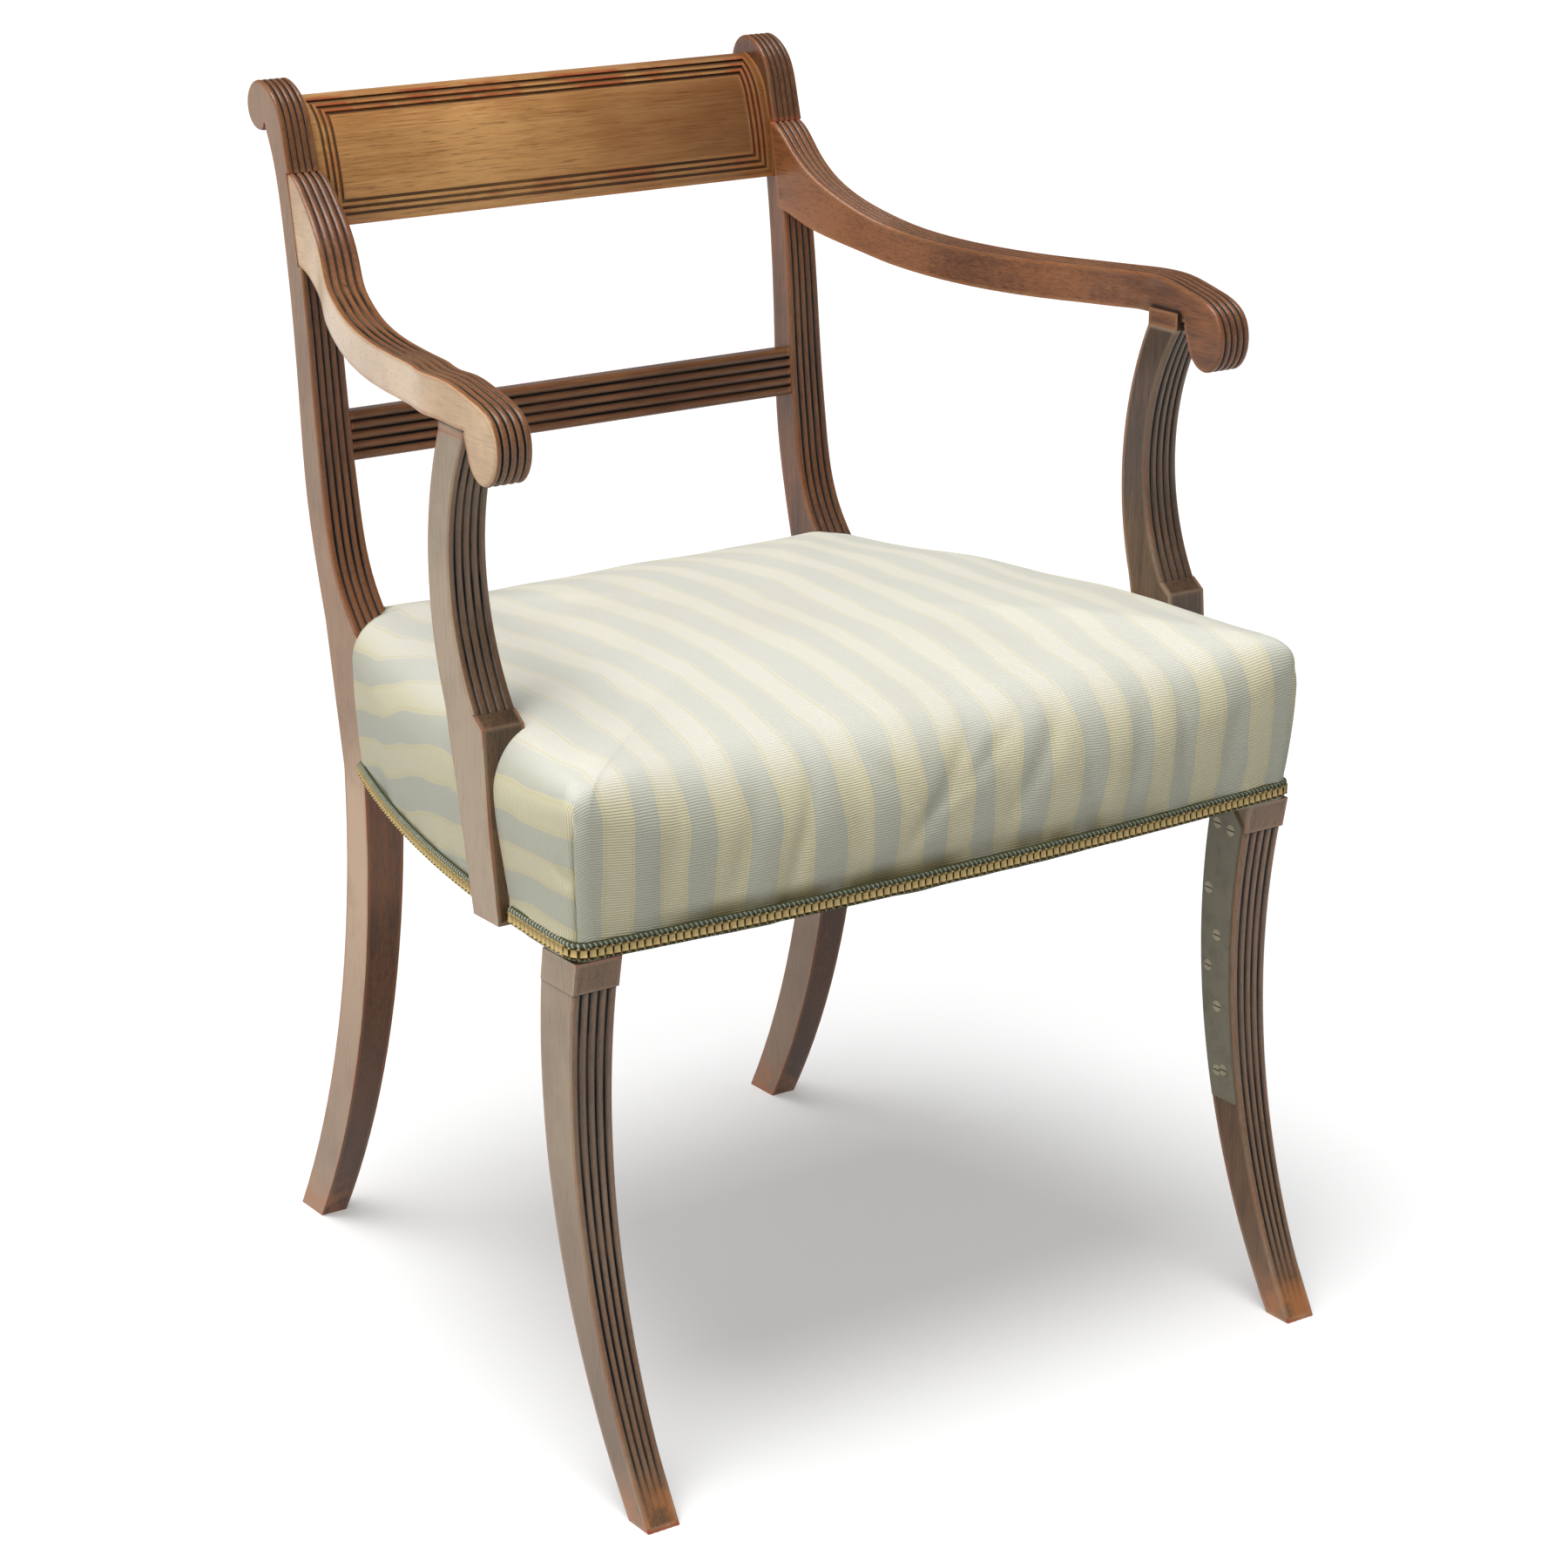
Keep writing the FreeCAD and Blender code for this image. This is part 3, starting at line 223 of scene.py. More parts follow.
def metal(name, colour, rust, metallic, roughness):
    def build(g):
        place = g.place()
        spots = g.noise(place, 60.0, 4.0, 0.65).ease(0.42, 0.70)
        fine = g.noise(place, 700.0, 2.0)
        # Painted shade in the hollows round screw heads and slots
        hollowShade = (1.0 - g.hollow(2.5 * mm).ease(0.5, 0.97)) * 0.9
        rusty = (spots * 0.7).mix(colour, rust)
        return {"Base Color": hollowShade.mix(rusty, tone(34, 29, 24)), "Metallic": metallic,
                "Roughness": roughness + fine * 0.15, "Normal": g.bump(fine, 0.1 * mm, 0.2)}
    return newMaterial(name, build)


plateMetal = metal("plate_iron", tone(126, 121, 102), tone(106, 97, 79), 0.05, 0.45)
plateScrewMetal = metal("plate_screws", tone(172, 164, 138), tone(140, 126, 98), 0.2, 0.4)
darkMetal = metal("tack_iron", tone(88, 84, 80), tone(92, 66, 46), 0.5, 0.45)
screwMetal = metal("screw_iron", tone(128, 122, 112), tone(100, 78, 58), 0.5, 0.4)

finishes = {
    "left_front_leg": legWood, "right_front_leg": legWood,
    "left_arm_support": supportWood, "right_arm_support": supportWood,
    "left_rear_post": backWood, "right_rear_post": backWood, "left_arm": armWood, "right_arm": armWood,
    "crest_rail": panelWood, "mid_rail": railWood, "front_seat_rail": beechAcross,
    "rear_seat_rail": beechAcross, "left_seat_rail": beechAlong, "right_seat_rail": beechAlong,
    "front_left_corner_block": beechAlong, "front_right_corner_block": beechAlong,
    "rear_left_corner_block": beechAlong, "rear_right_corner_block": beechAlong, "arm_dowels": beechAlong,
    "repair_plate": plateMetal, "repair_plate_screws": plateScrewMetal, "webbing_tacks": darkMetal,
    "corner_block_screws": screwMetal, "arm_support_screws": screwMetal,
}
for name, finish in finishes.items():
    mesh = nodes[name].data
    mesh.materials.clear()
    mesh.materials.append(finish)
print("wood and metal finished")


def addPiece(name, shape, cloths, slot, *replaced):
    mesh = bpy.data.meshes.new(name)
    shape.to_mesh(mesh)
    shape.free()
    for cloth in cloths:
        mesh.materials.append(cloth)
    piece = bpy.data.objects.new(name, mesh)
    bpy.context.scene.collection.objects.link(piece)
    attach(piece, "root")
    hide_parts(*replaced)
    return piece


# Striped seat: plan of the rails, then levels from the lower edge to the crown
seat = {
    "front": -0.238559, "back": 0.190441, "halfFront": 0.2885, "halfRear": 0.20355,
    "bows": (0.012, 0.020, 0.0008, 0.020), "corner": 0.014, "columns": (150, 24, 110, 12, 80, 12, 110, 24),
    "edgeLow": 0.3726, "edgeTop": 0.389, "underside": 0.4382, "shoulderTop": 0.4880, "crown": 0.513,
    "edgeOffset": 0.003, "swell": 0.008, "turn": 78.0, "fullness": 2.6, "skin": 0.0004,
    "shoulders": (0.060, 0.046, 0.036, 0.046), "tight": 0.020, "reach": 0.065,
    "lifts": (0.003, 0.008, 0.003, 0.008), "frontRamp": 0.10, "rearRamp": 0.18, "uprightTop": 0.44,
    "skirtRows": 4, "sideRows": 22, "rollRows": 14, "crownRows": 29, "easing": 16,
    "postInner": 0.186, "postFront": 0.163441, "clear": 0.0004, "supportSpan": (-0.1560, -0.1225),
}
seatMiddle = (seat["front"] + seat["back"]) / 2.0
# Each column's side or corner of the plan, counted round from the front, and its share along it
seatSides = [(index, i / count) for index, count in enumerate(seat["columns"]) for i in range(count)]


def seatPlan(offset, scale=1.0):
    halfFront = seat["halfFront"] + offset
    halfRear = seat["halfRear"] + offset
    front = seat["front"] - offset
    back = seat["back"] + offset
    corners = [Vector((-halfFront, front)), Vector((halfFront, front)), Vector((halfRear, back)),
               Vector((-halfRear, back))]
    outward = [Vector((0, -1)), Vector((1, 0)), Vector((0, 1)), Vector((-1, 0))]
    points = []
    for side in range(4):
        a, b, after = corners[side], corners[(side + 1) % 4], corners[(side + 2) % 4]
        run, turn = b - a, after - b
        bow = outward[side] * seat["bows"][side]
        nextBow = outward[(side + 1) % 4] * seat["bows"][(side + 1) % 4]
        lift = bow * (1.0 - (1.0 - seat["corner"] * 2.0 / run.length) ** 2)
        nextLift = nextBow * (1.0 - (1.0 - seat["corner"] * 2.0 / turn.length) ** 2)
        start = a + run.normalized() * seat["corner"] + lift
        end = b - run.normalized() * seat["corner"] + lift
        onward = b + turn.normalized() * seat["corner"] + nextLift
        knee = (end + onward) * 0.25 + (b + (lift + nextLift) * 0.5) * 0.5
        for (p, q, r), count in zip(((start, (a + b) * 0.5 + bow, end), (end, knee, onward)),
                                    seat["columns"][side * 2:side * 2 + 2]):
            for i in range(count):
                t = i / count
                points.append(p * (1 - t) * (1 - 2 * t) + q * 4 * t * (1 - t) + r * t * (2 * t - 1))
    return [Vector((p.x * scale, seatMiddle + (p.y - seatMiddle) * scale)) for p in points]


# Rows of one column, as offset, height and scale: skirt, side, rolled shoulder, then the crown
def seatColumn(radius, lift):
    turn = math.radians(seat["turn"])
    edge, edgeLow, edgeTop = seat["edgeOffset"], seat["edgeLow"], seat["edgeTop"]
    start = seat["shoulderTop"] + lift - radius * math.sin(turn)
    skirt = seat["skirtRows"]
    rows = [(edge, edgeLow + (edgeTop - edgeLow) * i / skirt, 1.0) for i in range(skirt)]
    for i in range(seat["sideRows"]):
        t = i / seat["sideRows"]
        swell = (seat["swell"] - edge) * math.sin(t * math.pi / 2) ** 0.9
        rows.append((edge + swell, edgeTop + (start - edgeTop) * t, 1.0))
    for i in range(seat["rollRows"] + 1):
        a = turn * i / seat["rollRows"]
        rows.append((seat["swell"] - radius * (1 - math.cos(a)), start + radius * math.sin(a), 1.0))
    offset, low, scale = rows[-1]
    for i in range(1, seat["crownRows"] + 1):
        scale = 1.0 - i / (seat["crownRows"] + 1)
        rows.append((offset, low + (seat["crown"] - low) * (1 - scale ** seat["fullness"]), scale))
    return rows


def smooth(low, high, value):
    t = min(1.0, max(0.0, (value - low) / (high - low)))
    return t * t * (3.0 - 2.0 * t)


# Even form of the pad in rings from the skirt to the crown, with tighter shoulders at the corners
def seatRings():
    step = 0.01
    near, far = seatPlan(0.0), seatPlan(step)
    corners = [sum(seat["columns"][:i]) + seat["columns"][i] // 2 for i in (1, 3, 5, 7)]
    columns = []
    for j, (index, t) in enumerate(seatSides):
        gap = min((near[j] - near[c]).length for c in corners)
        soft = seat["shoulders"][index // 2]
        radius = soft + (seat["tight"] - soft) * math.exp(-(gap / seat["reach"]) ** 1.5)
        ramp = seat["frontRamp"] if near[j].y < 0 else seat["rearRamp"]
        lift = seat["lifts"][index // 2] * smooth(0.0, ramp, gap)
        column = []
        for offset, z, scale in seatColumn(radius, lift):
            p = near[j] + (far[j] - near[j]) * (offset / step)
            column.append(Vector((p.x * scale, seatMiddle + (p.y - seatMiddle) * scale, z)))
        columns.append(column)
    return list(zip(*columns))


# How far each column is from its corner's fold: plus on the front cloth, minus on the side cloth
def foldDistances(ring):
    count = len(ring)
    around = [0.0]
    for j in range(count):
        around.append(around[-1] + (ring[(j + 1) % count] - ring[j]).length)
    rightFold = around[seat["columns"][0] + seat["columns"][1] // 2]
    leftFold = around[count - seat["columns"][7] // 2]
    distances = []
    for j, p in enumerate(ring):
        if p.x > 0:
            distances.append(rightFold - around[j])
        elif around[j] > around[-1] / 2:
            distances.append(around[j] - leftFold)
        else:
            distances.append(around[j] + around[-1] - leftFold)
    return distances


# Dents of the front face: place across, height, lean, width, half length and depth in millimetres
dents = [(-225, 430, 0.15, 10, 40, 1.4), (-172, 425, 0.3, 9, 42, 1.7), (-128, 428, 0.25, 6, 40, 2.3),
         (-84, 436, -0.2, 11, 34, 2.3), (-50, 446, -0.9, 8, 26, 2.3), (-18, 438, 0.8, 9, 32, 2.7),
         (14, 450, 1.6, 8, 22, 1.8), (34, 436, -0.45, 8, 30, 2.3), (64, 444, 0.7, 10, 32, 2.4),
         (104, 432, -0.3, 9, 36, 2.0), (146, 430, 0.25, 10, 40, 1.8), (190, 430, -0.1, 7, 40, 1.8),
         (236, 432, 0.2, 9, 40, 1.4)]
# Slack, gathers, a pulled-in lower edge, the corner fold's ridge and valley, its tuck and its pinched top
slack = {
    "depth": 0.0022, "scales": (13.0, 12.0), "gather": 0.0018, "gatherScale": 40.0, "gatherReach": 0.020,
    "pull": 0.0022, "pullHeight": 0.394, "pullReach": 0.007, "pullLeft": (-0.13, -0.05),
    "pullRight": (0.10, 0.20),
    "foldTop": (0.452, 0.470), "ridge": 0.0010, "ridgeReach": 0.010, "valley": 0.0040, "valleyReach": 0.0045,
    "tuck": 0.0018, "tuckHeight": 0.424, "tuckLean": 0.25, "tuckWidth": 0.0032, "tuckPlace": 0.010,
    "tuckReach": 0.012, "pinch": 0.0016, "pinchHeight": 0.469, "pinchReach": 0.006,
}


# How far the cloth stands off its even form
def clothPush(x, y, z, front, past):
    level, upright = slack["scales"]
    push = noise.noise(Vector((x * level, y * level, z * upright))) * slack["depth"]
    low = math.exp(-max(0.0, z - seat["edgeTop"]) / slack["gatherReach"])
    gather = noise.noise(Vector((x * slack["gatherScale"], y * slack["gatherScale"], 3.0)))
    push += gather * slack["gather"] * low
    if front:
        for across, height, lean, width, reach, depth in dents:
            off = (x / mm - across) - (z / mm - height) * lean
            rise = (z / mm - height) / reach
            push -= depth * mm * math.exp(-(off / width) ** 2 - rise ** 2)
        pulled = smooth(*slack["pullLeft"], x) * (1.0 - smooth(*slack["pullRight"], x))
        push -= slack["pull"] * pulled * math.exp(-((z - slack["pullHeight"]) / slack["pullReach"]) ** 2)
    fold = 1.0 - smooth(*slack["foldTop"], z)
    if past >= 0:
        push += slack["ridge"] * fold * math.exp(-past / slack["ridgeReach"])
    else:
        push -= slack["valley"] * fold * math.exp(past / slack["valleyReach"])
        tuck = (z - slack["tuckHeight"] + past * slack["tuckLean"]) / slack["tuckWidth"]
        push -= slack["tuck"] * math.exp(-tuck ** 2 - ((past + slack["tuckPlace"]) / slack["tuckReach"]) ** 2)
    pinched = ((z - slack["pinchHeight"]) / slack["pinchReach"]) ** 2 + (past / slack["pinchReach"]) ** 2
    return push - slack["pinch"] * math.exp(-pinched)


def keepOffPost(point):
    inner, face = seat["postInner"] - seat["clear"], seat["postFront"] - seat["clear"]
    if abs(point.x) > inner and point.y > face:
        if abs(point.x) - inner < point.y - face:
            point.x = math.copysign(inner, point.x)
        else:
            point.y = face
    return point


# Stripe and rib coordinates follow the cloth from the crown outwards: its length beyond the level distance
def clothDrops(base, centre):
    drops = [[0.0] * len(ring) for ring in base]
    for j in range(len(base[0])):
        path, last = 0.0, centre
        for i in range(len(base) - 1, -1, -1):
            path += (base[i][j] - last).length
            last = base[i][j]
            drops[i][j] = path - math.hypot(last.x - centre.x, last.y - centre.y)
    return drops


def clothPlace(point, drop, side, front):
    if front:
        return (point.x, point.y - drop)
    if side == 4:
        return (point.x, point.y + drop)
    return (point.x + math.copysign(drop, point.x), point.y)


def buildSeat():
    shape = bmesh.new()
    count = len(seatSides)
    base = seatRings()
    crownStart = len(base) - seat["crownRows"]
    centre = Vector((0.0, seatMiddle, seat["crown"]))
    drops = clothDrops(base, centre)
    plan = seatPlan(seat["edgeOffset"])
    folds = foldDistances(plan)
    # The front cloth laps over the side cloth half way round each front corner
    onFront = [index == 0 or (index == 1 and t < 0.5) or (index == 7 and t >= 0.5) for index, t in seatSides]
    rings = []
    for i, row in enumerate(base):
        crowned = i >= crownStart
        rings.append([])
        for j, point in enumerate(row):
            before, after = plan[j - 1], plan[(j + 1) % count]
            away = Vector((after.y - before.y, before.x - after.x, 0.0)).normalized()
            past = 1.0 if crowned else folds[j]
            push = clothPush(point.x, point.y, point.z, onFront[j] and not crowned, past)
            rise = smooth(seat["uprightTop"], seat["shoulderTop"], point.z)
            out = (away * (1.0 - rise) + Vector((0, 0, 1)) * rise).normalized()
            rings[-1].append(shape.verts.new(keepOffPost(point + out * push)))
    pole = shape.verts.new(centre)
    # Inside: up the rails, then flat over the base cloth
    hidden = []
    for z, scale in ((seat["edgeLow"], 1.0), (seat["underside"], 1.0), (seat["underside"], 0.5)):
        inner = seatPlan(seat["skin"], scale)
        hidden.append([shape.verts.new(keepOffPost(Vector((p.x, p.y, z)))) for p in inner])
    floorPole = shape.verts.new((0.0, seatMiddle, seat["underside"]))
    weave = shape.loops.layers.uv.new("weave")
    for j in range(count):
        k = (j + 1) % count
        for i in range(len(rings) - 1):
            face = shape.faces.new((rings[i][j], rings[i][k], rings[i + 1][k], rings[i + 1][j]))
            for loop, (r, c) in zip(face.loops, ((i, j), (i, k), (i + 1, k), (i + 1, j))):
                loop[weave].uv = clothPlace(base[r][c], drops[r][c], seatSides[j][0], onFront[j])
        face = shape.faces.new((rings[-1][j], rings[-1][k], pole))
        for loop in face.loops:
            loop[weave].uv = loop.vert.co.xy
        shape.faces.new((rings[0][k], rings[0][j], hidden[0][j], hidden[0][k]))
        shape.faces.new((hidden[0][k], hidden[0][j], hidden[1][j], hidden[1][k]))
        shape.faces.new((hidden[1][k], hidden[1][j], hidden[2][j], hidden[2][k]))
        shape.faces.new((hidden[2][k], hidden[2][j], floorPole))
    for face in shape.faces:
        face.smooth = True
    crownVerts = [vert for ring in rings[crownStart:] for vert in ring]
    for step in range(seat["easing"]):
        bmesh.ops.smooth_vert(shape, verts=crownVerts, factor=0.5, use_axis_z=True)
    return shape


stripe = {
    "period": 43.6 * mm, "start": -4.8 * mm, "cream": 11.3 * mm, "edge": 0.7 * mm, "line": 1.8 * mm,
    "sway": 42.0 * mm, "swayScale": 6.5, "rib": 1.75 * mm, "relief": 0.45 * mm,
    "shadeAndSoilTop": (0.386, 0.400), "shadeAndSoilLeft": (-0.27, -0.18), "shadeAndSoilRight": (0.06, 0.22),
    "shadeAndSoilBack": (-0.22, -0.20),
}


def stripedCloth(g):
    weave = g.node("ShaderNodeUVMap", {"uv_map": "weave"})
    across, along = g.part(weave, "X"), g.part(weave, "Y")
    sway = (g.noise(weave, stripe["swayScale"], 2.0) - 0.5) * stripe["sway"]
    turn = ((across + sway - stripe["start"]) / stripe["period"] + 100.5).fract()
    away = abs(turn - 0.5) * stripe["period"]
    grey = away.ease(stripe["cream"] - stripe["edge"], stripe["cream"] + stripe["edge"])
    line = 1.0 - abs(away - (stripe["cream"] - stripe["line"])).ease(0.2 * mm, stripe["line"])
    # Painted sheen and shade: the silk's shine on the flat top is painted as paler tones, so the stripes part
    # more on the darker upright sides
    upright = 1.0 - abs(g.part(g.place("Normal"), "Z")).ease(0.3, 0.97)
    creamTone = upright.mix(tone(243, 241, 228), tone(236, 231, 203))
    greyTone = upright.mix(tone(229, 229, 218), tone(202, 205, 193))
    colour = (line * 0.3).mix(grey.mix(creamTone, greyTone), tone(222, 210, 152))
    wobble = g.noise(g.scaled(weave, (60.0, 14.0, 1.0)), 1.0, 2.0) * 0.8
    rib = ((along / stripe["rib"] + wobble) * (2 * math.pi)).sine() * 0.5 + 0.5
    thread = g.noise(g.scaled(weave, (420.0, 900.0, 1.0)), 1.0, 2.0)
    # Rib valleys in an olive tone, with painted shade that deepens them on the upright sides
    colour = ((1.0 - rib) * (0.16 + upright * 0.38) * (1.0 - grey * 0.3)).mix(colour, tone(160, 144, 78))
    colour = (thread.ease(0.45, 0.75) * 0.14).mix(colour, tone(186, 184, 164))
    place = g.place()
    colour = (g.noise(place, 9.0, 3.0).ease(0.45, 0.75) * 0.08).mix(colour, tone(205, 194, 150))
    # Painted shade and staining above the gimp, along most of the front
    x, y, z = (g.part(place, axis) for axis in "XYZ")
    shadeAndSoil = x.ease(*stripe["shadeAndSoilLeft"]) * (1.0 - x.ease(*stripe["shadeAndSoilRight"]))
    shadeAndSoil = shadeAndSoil * (1.0 - y.ease(*stripe["shadeAndSoilBack"])) * (1.0 - z.ease(*stripe["shadeAndSoilTop"]))
    patches = g.noise(place, 16.0, 3.0).ease(0.30, 0.60) * 0.5 + 0.4
    colour = (shadeAndSoil * patches).mix(colour, tone(98, 86, 40))
    # Painted shade in the creases and folds
    colour = ((1.0 - g.hollow(6.0 * mm).ease(0.45, 0.95)) * 0.5).mix(colour, tone(112, 104, 62))
    return {"Base Color": colour, "Roughness": 0.8, "Specular IOR Level": 0.25, "Sheen Weight": 0.1,
            "Normal": g.bump(rib * 0.7 + thread * 0.3, stripe["relief"], 0.7)}


seatPad = addPiece("seat_pad", buildSeat(), [newMaterial("striped_cover", stripedCloth)], "striped_cover",
                   "seat_cover", "seat_stuffing")
print("seat covered")

# Gimp braid: a tape that carries a speckled twisted cord, a row of beads and a thin lower cord
gimp = {
    "low": 373.2 * mm, "top": 385.6 * mm, "tape": (3.4 * mm, 4.0 * mm), "step": 0.7 * mm, "ends": 12,
    "cord": (383.6 * mm, 4.8 * mm, 1.9 * mm, 3.6 * mm), "lowCord": (374.7 * mm, 4.6 * mm, 1.2 * mm, 3.2 * mm),
    "bead": (5.3 * mm, 5.6 * mm, 2.9 * mm), "beadPitch": 5.6 * mm, "beadHeight": 378.8 * mm,
    "beadOffset": 4.8 * mm, "beadRound": 1.0 * mm,
}


def braid(name, dark, light, specks=True):
    def build(g):
        fibre = g.noise(g.place(), 1300.0, 2.0)
        if specks:
            strand = g.node("ShaderNodeAttribute", {"attribute_name": "strand"}, None, "Fac")
            colour = (strand.ease(0.1, 0.8) * (fibre.ease(0.2, 0.6))).mix(dark, light)
        else:
            colour = (fibre.ease(0.30, 0.72) * 0.5).mix(light, dark)
        # Painted shade in the gaps between beads, cords and tape
        hollow = 1.0 - g.hollow(1.0 * mm).ease(0.15, 0.75)
        return {"Base Color": (hollow * 0.35).mix(colour, tone(84, 78, 44)), "Roughness": 0.8,
                "Specular IOR Level": 0.2}
    return newMaterial(name, build)


braidCloths = [braid("gimp_tape", tone(74, 74, 46), tone(98, 98, 62), False),
               braid("gimp_cord", tone(72, 78, 60), tone(176, 180, 162)),
               braid("gimp_beads", tone(192, 162, 98), tone(228, 202, 142), False),
               braid("gimp_edge", tone(62, 64, 44), tone(160, 158, 128))]


def planRoute(offset, keep):
    points = [Vector((p.x, p.y, 0.0)) for p in seatPlan(offset)]
    flags = [keep(p) for p in points]
    start = next(i for i in range(len(points)) if flags[i] and not flags[i - 1])
    run = []
    for i in range(len(points)):
        j = (start + i) % len(points)
        if not flags[j]:
            break
        run.append(points[j])
    return run


def evenRoute(points, step):
    lengths = [0.0]
    for a, b in zip(points, points[1:]):
        lengths.append(lengths[-1] + (b - a).length)
    pieces = max(2, round(lengths[-1] / step))
    route, k = [], 0
    for i in range(pieces + 1):
        want = lengths[-1] * i / pieces
        while k < len(points) - 2 and lengths[k + 1] < want:
            k += 1
        share = (want - lengths[k]) / max(1e-9, lengths[k + 1] - lengths[k])
        route.append(points[k].lerp(points[k + 1], share))
    return route


def outwardAt(route, i):
    ahead = route[min(i + 1, len(route) - 1)] - route[max(i - 1, 0)]
    return Vector((ahead.y, -ahead.x, 0.0)).normalized()


def sweep(shape, route, section, material):
    strand = shape.verts.layers.float["strand"]
    rings = []
    for i, place in enumerate(route):
        out = outwardAt(route, i)
        rings.append([])
        for across, up, value in section(i):
            vert = shape.verts.new(place + out * across + Vector((0, 0, up)))
            vert[strand] = value
            rings[-1].append(vert)
    size = len(rings[0])
    faces = [shape.faces.new((a[k], b[k], b[(k + 1) % size], a[(k + 1) % size]))
             for a, b in zip(rings, rings[1:]) for k in range(size)]
    faces += [shape.faces.new(list(reversed(rings[0]))), shape.faces.new(rings[-1])]
    for face in faces:
        face.material_index = material
        face.smooth = size > 4


def twisted(height, radius, pitch):
    def section(i):
        ring = []
        turn = 2 * math.pi * i * gimp["step"] / pitch
        for k in range(gimp["ends"]):
            a = -2 * math.pi * k / gimp["ends"]
            swell = radius * (0.84 + 0.16 * math.cos(2 * (a + turn / 2)))
            ring.append((swell * math.cos(a), height + swell * math.sin(a), math.sin(a + turn)))
        return ring
    return section


def addBead(shape, place, out, material):
    length, height, depth = gimp["bead"]
    made = bmesh.ops.create_cube(shape, size=1.0)["verts"]
    along = Vector((-out.y, out.x, 0.0))
    for v in made:
        q = v.co.copy()
        v.co = place + along * (q.x * length) + out * (q.y * depth)
        v.co.z = q.z * height + gimp["beadHeight"]
    edges = {e for v in made for e in v.link_edges}
    result = bmesh.ops.bevel(shape, geom=list(edges), affect="EDGES", offset=gimp["beadRound"],
                             offset_type="OFFSET", segments=1, profile=0.5, material=-1)
    for face in {f for v in result["verts"] for f in v.link_faces}:
        face.material_index = material
        face.smooth = True


def buildGimp(keep):
    shape = bmesh.new()
    shape.verts.layers.float.new("strand")
    near, far = gimp["tape"]
    low, top = gimp["low"], gimp["top"]
    sweep(shape, evenRoute(planRoute(near, keep), 5.0 * mm),
          lambda i: ((0.0, low, 0.0), (0.0, top, 0.0), (far - near, top, 0.0), (far - near, low, 0.0)), 0)
    for key, material in (("cord", 1), ("lowCord", 3)):
        height, offset, radius, pitch = gimp[key]
        route = evenRoute(planRoute(offset, keep), gimp["step"])
        sweep(shape, route, twisted(height, radius, pitch), material)
    route = evenRoute(planRoute(gimp["beadOffset"], keep), gimp["beadPitch"])
    for i in range(len(route) - 1):
        addBead(shape, route[i].lerp(route[i + 1], 0.5), outwardAt(route[i:i + 2], 0), 2)
    bmesh.ops.recalc_face_normals(shape, faces=shape.faces)
    return shape


supportFront, supportBack = seat["supportSpan"]
gimpRuns = {
    "front_gimp": lambda p: p.y < supportFront,
    "right_side_gimp": lambda p: p.x > 0 and supportBack < p.y < seat["postFront"],
    "left_side_gimp": lambda p: p.x < 0 and supportBack < p.y < seat["postFront"],
    "rear_gimp": lambda p: abs(p.x) < seat["postInner"] and p.y > seat["postFront"],
}
for name, keep in gimpRuns.items():
    addPiece(name + "_braid", buildGimp(keep), braidCloths, "gimp_braid", name)
print("gimp laid")

# Webbing woven over and under, with the base cloth above it
web = {
    "width": 50 * mm, "gauge": 1.1 * mm, "level": 435.2 * mm, "weave": 0.6 * mm, "count": 4, "pieces": 64,
    "spread": 312 * mm, "front": -0.233559, "back": 0.185441, "crossFront": -0.172559, "crossBack": 0.132441,
    "edge": 5 * mm, "margin": 3 * mm, "sideFrom": 0.2,
}
webAcross = [-web["spread"] / 2 + web["spread"] * k / (web["count"] - 1) for k in range(web["count"])]
webBack = [web["crossFront"] + (web["crossBack"] - web["crossFront"]) * k / (web["count"] - 1)
           for k in range(web["count"])]


def wovenHeight(place, crossings, odd, restLevel):
    nearest = min(range(len(crossings)), key=lambda k: abs(place - crossings[k]))
    half = (crossings[1] - crossings[0]) / 2
    if place < crossings[0] - half or place > crossings[-1] + half:
        return restLevel
    hand = 1 if (nearest + odd) % 2 else -1
    share = min(1.0, abs(place - crossings[nearest]) / half)
    return web["level"] + hand * web["weave"] * math.cos(share * math.pi / 2)


def addStrap(shape, along, across, start, end, centre, height):
    rings = []
    for i in range(web["pieces"] + 1):
        t = start + (end - start) * i / web["pieces"]
        z = height(t)
        ring = []
        for side, top in ((-1, -1), (1, -1), (1, 1), (-1, 1)):
            p = along * t + across * (centre + side * web["width"] / 2)
            ring.append(shape.verts.new((p.x, p.y, z + top * web["gauge"] / 2)))
        rings.append(ring)
    for a, b in zip(rings, rings[1:]):
        for k in range(4):
            shape.faces.new((a[k], b[k], b[(k + 1) % 4], a[(k + 1) % 4]))
    shape.faces.new(rings[0])
    shape.faces.new(list(reversed(rings[-1])))


def wovenCloth(name, light, dark, pitch):
    def build(g):
        place = g.place()
        threads = ((g.part(place, "X") * (2 * math.pi / pitch)).sine()
                   * (g.part(place, "Y") * (2 * math.pi / pitch)).sine())
        fibre = g.noise(place, 240.0, 3.0)
        shade = (threads * 0.25 + fibre * 0.9).ease(0.1, 0.9)
        return {"Base Color": shade.mix(dark, light), "Roughness": 0.9, "Specular IOR Level": 0.15,
                "Normal": g.bump(threads + fibre, 0.4 * mm, 0.6)}
    return newMaterial(name, build)


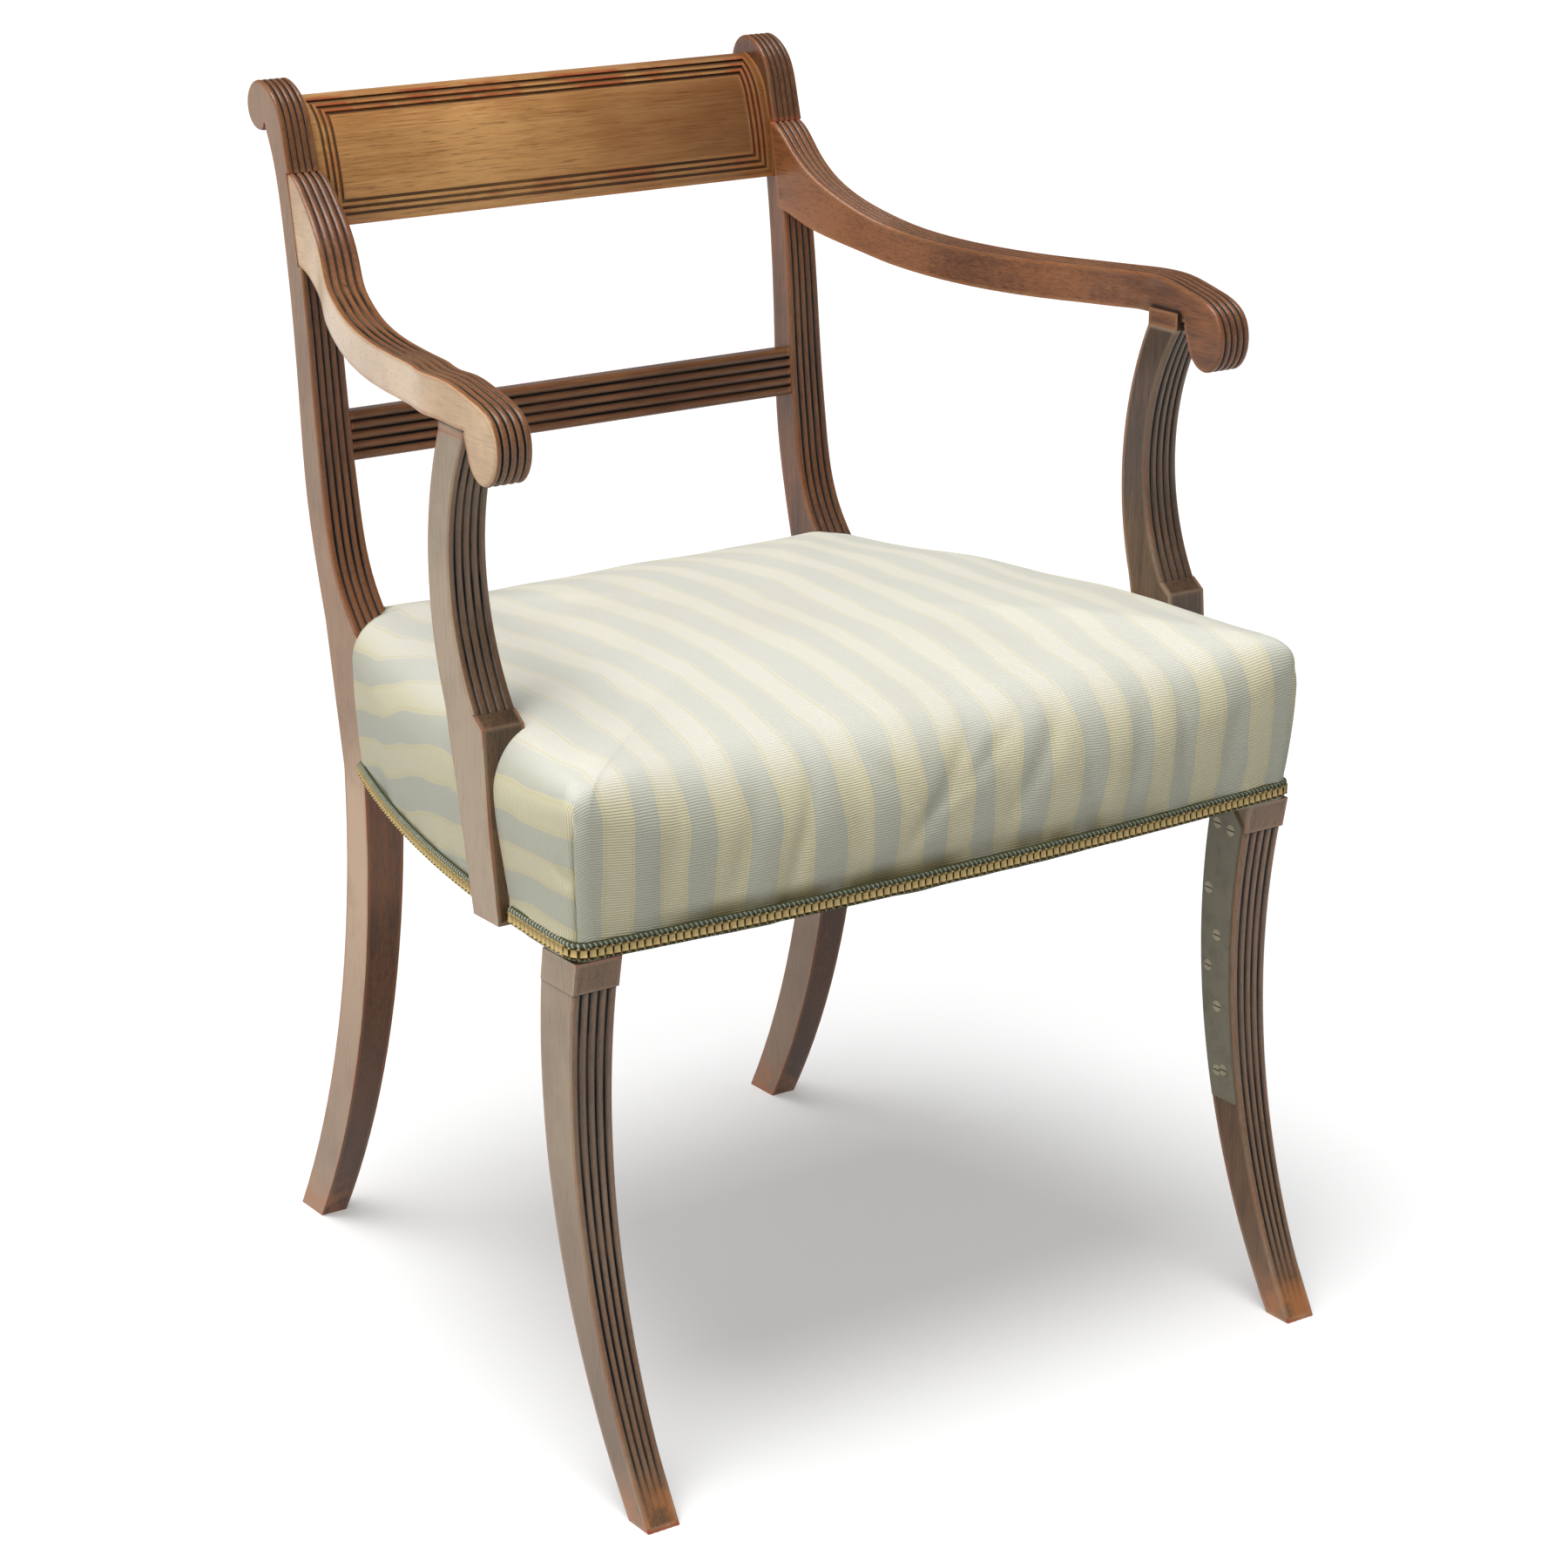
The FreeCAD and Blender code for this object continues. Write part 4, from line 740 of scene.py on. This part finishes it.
webCloth = wovenCloth("webbing_cloth", tone(176, 150, 112), tone(112, 88, 60), 2.0 * mm)
hessian = wovenCloth("hessian_cloth", tone(168, 140, 98), tone(96, 74, 46), 2.6 * mm)
forward, sideways = Vector((0, 1, 0)), Vector((1, 0, 0))
straps = bmesh.new()
for k, x in enumerate(webAcross):
    addStrap(straps, forward, sideways, web["front"], web["back"], x,
             lambda t, k=k: wovenHeight(t, webBack, k, web["level"] - web["weave"]))
bmesh.ops.recalc_face_normals(straps, faces=straps.faces)
addPiece("webbing_lengthwise", straps, [webCloth], "webbing", "webbing_front_to_back")
straps = bmesh.new()
for k, y in enumerate(webBack):
    beside = [abs(p.x) for p in seatPlan(0.0) if abs(p.y - y) < web["width"] / 2 + web["margin"]]
    reach = min(x for x in beside if x > web["sideFrom"])
    addStrap(straps, sideways, forward, -reach + web["edge"], reach - web["edge"], y,
             lambda t, k=k: wovenHeight(t, webAcross, k + 1, web["level"] + web["weave"]))
bmesh.ops.recalc_face_normals(straps, faces=straps.faces)
addPiece("webbing_crosswise", straps, [webCloth], "webbing", "webbing_side_to_side")

base = {"low": 437.3 * mm, "top": 438.0 * mm, "inset": 6 * mm}
sheet = bmesh.new()
outer = seatPlan(-base["inset"])
lower = [sheet.verts.new(keepOffPost(Vector((p.x, p.y, base["low"])))) for p in outer]
upper = [sheet.verts.new((v.co.x, v.co.y, base["top"])) for v in lower]
lowPole, highPole = (sheet.verts.new((0, seatMiddle, base[key])) for key in ("low", "top"))
for j in range(len(outer)):
    k = (j + 1) % len(outer)
    sheet.faces.new((lower[j], lower[k], upper[k], upper[j]))
    sheet.faces.new((lower[k], lower[j], lowPole))
    sheet.faces.new((upper[j], upper[k], highPole))
bmesh.ops.recalc_face_normals(sheet, faces=sheet.faces)
addPiece("base_cloth_sheet", sheet, [hessian], "hessian", "base_cloth")
print("webbing woven")


# Floor, lamp and sky: the floor is lighter to the camera and in reflections than it is as a light
def paper(g):
    shown = g.seen("Is Camera Ray") + g.seen("Is Glossy Ray")
    return {"Base Color": shown.mix((0.42, 0.42, 0.42, 1.0), (0.82, 0.82, 0.82, 1.0)), "Roughness": 1.0,
            "Specular IOR Level": 0.0, "Emission Strength": 1.0,
            "Emission Color": shown.mix((0.0, 0.0, 0.0, 1.0), (0.24, 0.24, 0.24, 1.0))}


bpy.ops.mesh.primitive_plane_add(size=60.0)
floor = bpy.context.object
floor.name = "floor"
floor.data.materials.append(newMaterial("floor", paper))

lamp = {"toward": Vector((-0.22, -0.07, 0.972)), "strength": 2.3, "angle": math.radians(36.0), "sky": 0.22,
        "left": 0.50, "window": 1.7, "windowToward": (-0.80, -0.42, 0.43), "windowEdge": (0.86, 0.97)}
sun = bpy.data.objects.new("key", bpy.data.lights.new("key", "SUN"))
bpy.context.scene.collection.objects.link(sun)
sun.data.energy = lamp["strength"]
sun.data.angle = lamp["angle"]
sun.rotation_mode = "QUATERNION"
sun.rotation_quaternion = lamp["toward"].to_track_quat("Z", "Y")

world = bpy.data.worlds.new("sky")
bpy.context.scene.world = world
world.use_nodes = True
world.node_tree.nodes.clear()
sky = Wire(world.node_tree)
heading = sky.place("Generated")
side = (0.0 - sky.part(heading, "X")).ease(0.1, 1.0)
facing = sky.node("ShaderNodeVectorMath", {"operation": "DOT_PRODUCT"},
                  {0: heading, 1: lamp["windowToward"]}, "Value")
level = side * (lamp["left"] - lamp["sky"]) + lamp["sky"] + facing.ease(*lamp["windowEdge"]) * lamp["window"]
shade = sky.seen("Is Camera Ray").mix(level, (1.0, 1.0, 1.0, 1.0))
sky.node("ShaderNodeOutputWorld", None, {"Surface": sky.node("ShaderNodeBackground", None, {"Color": shade})})

view = {"place": (-1.5190, -2.24226, 1.2581), "azimuth": math.radians(-34.673),
        "elevation": math.radians(18.141), "lens": 92.575}
camera = bpy.data.objects.new("camera", bpy.data.cameras.new("camera"))
bpy.context.scene.collection.objects.link(camera)
backward = Vector((math.sin(view["azimuth"]) * math.cos(view["elevation"]),
                   -math.cos(view["azimuth"]) * math.cos(view["elevation"]), math.sin(view["elevation"])))
camera.location = view["place"]
camera.rotation_mode = "QUATERNION"
camera.rotation_quaternion = (-backward).to_track_quat("-Z", "Y")
camera.data.sensor_width = 36.0
camera.data.lens = view["lens"]
camera.data.clip_end = 100.0
bpy.context.scene.camera = camera
bpy.context.scene.view_settings.view_transform = "Standard"

print("scene ready")
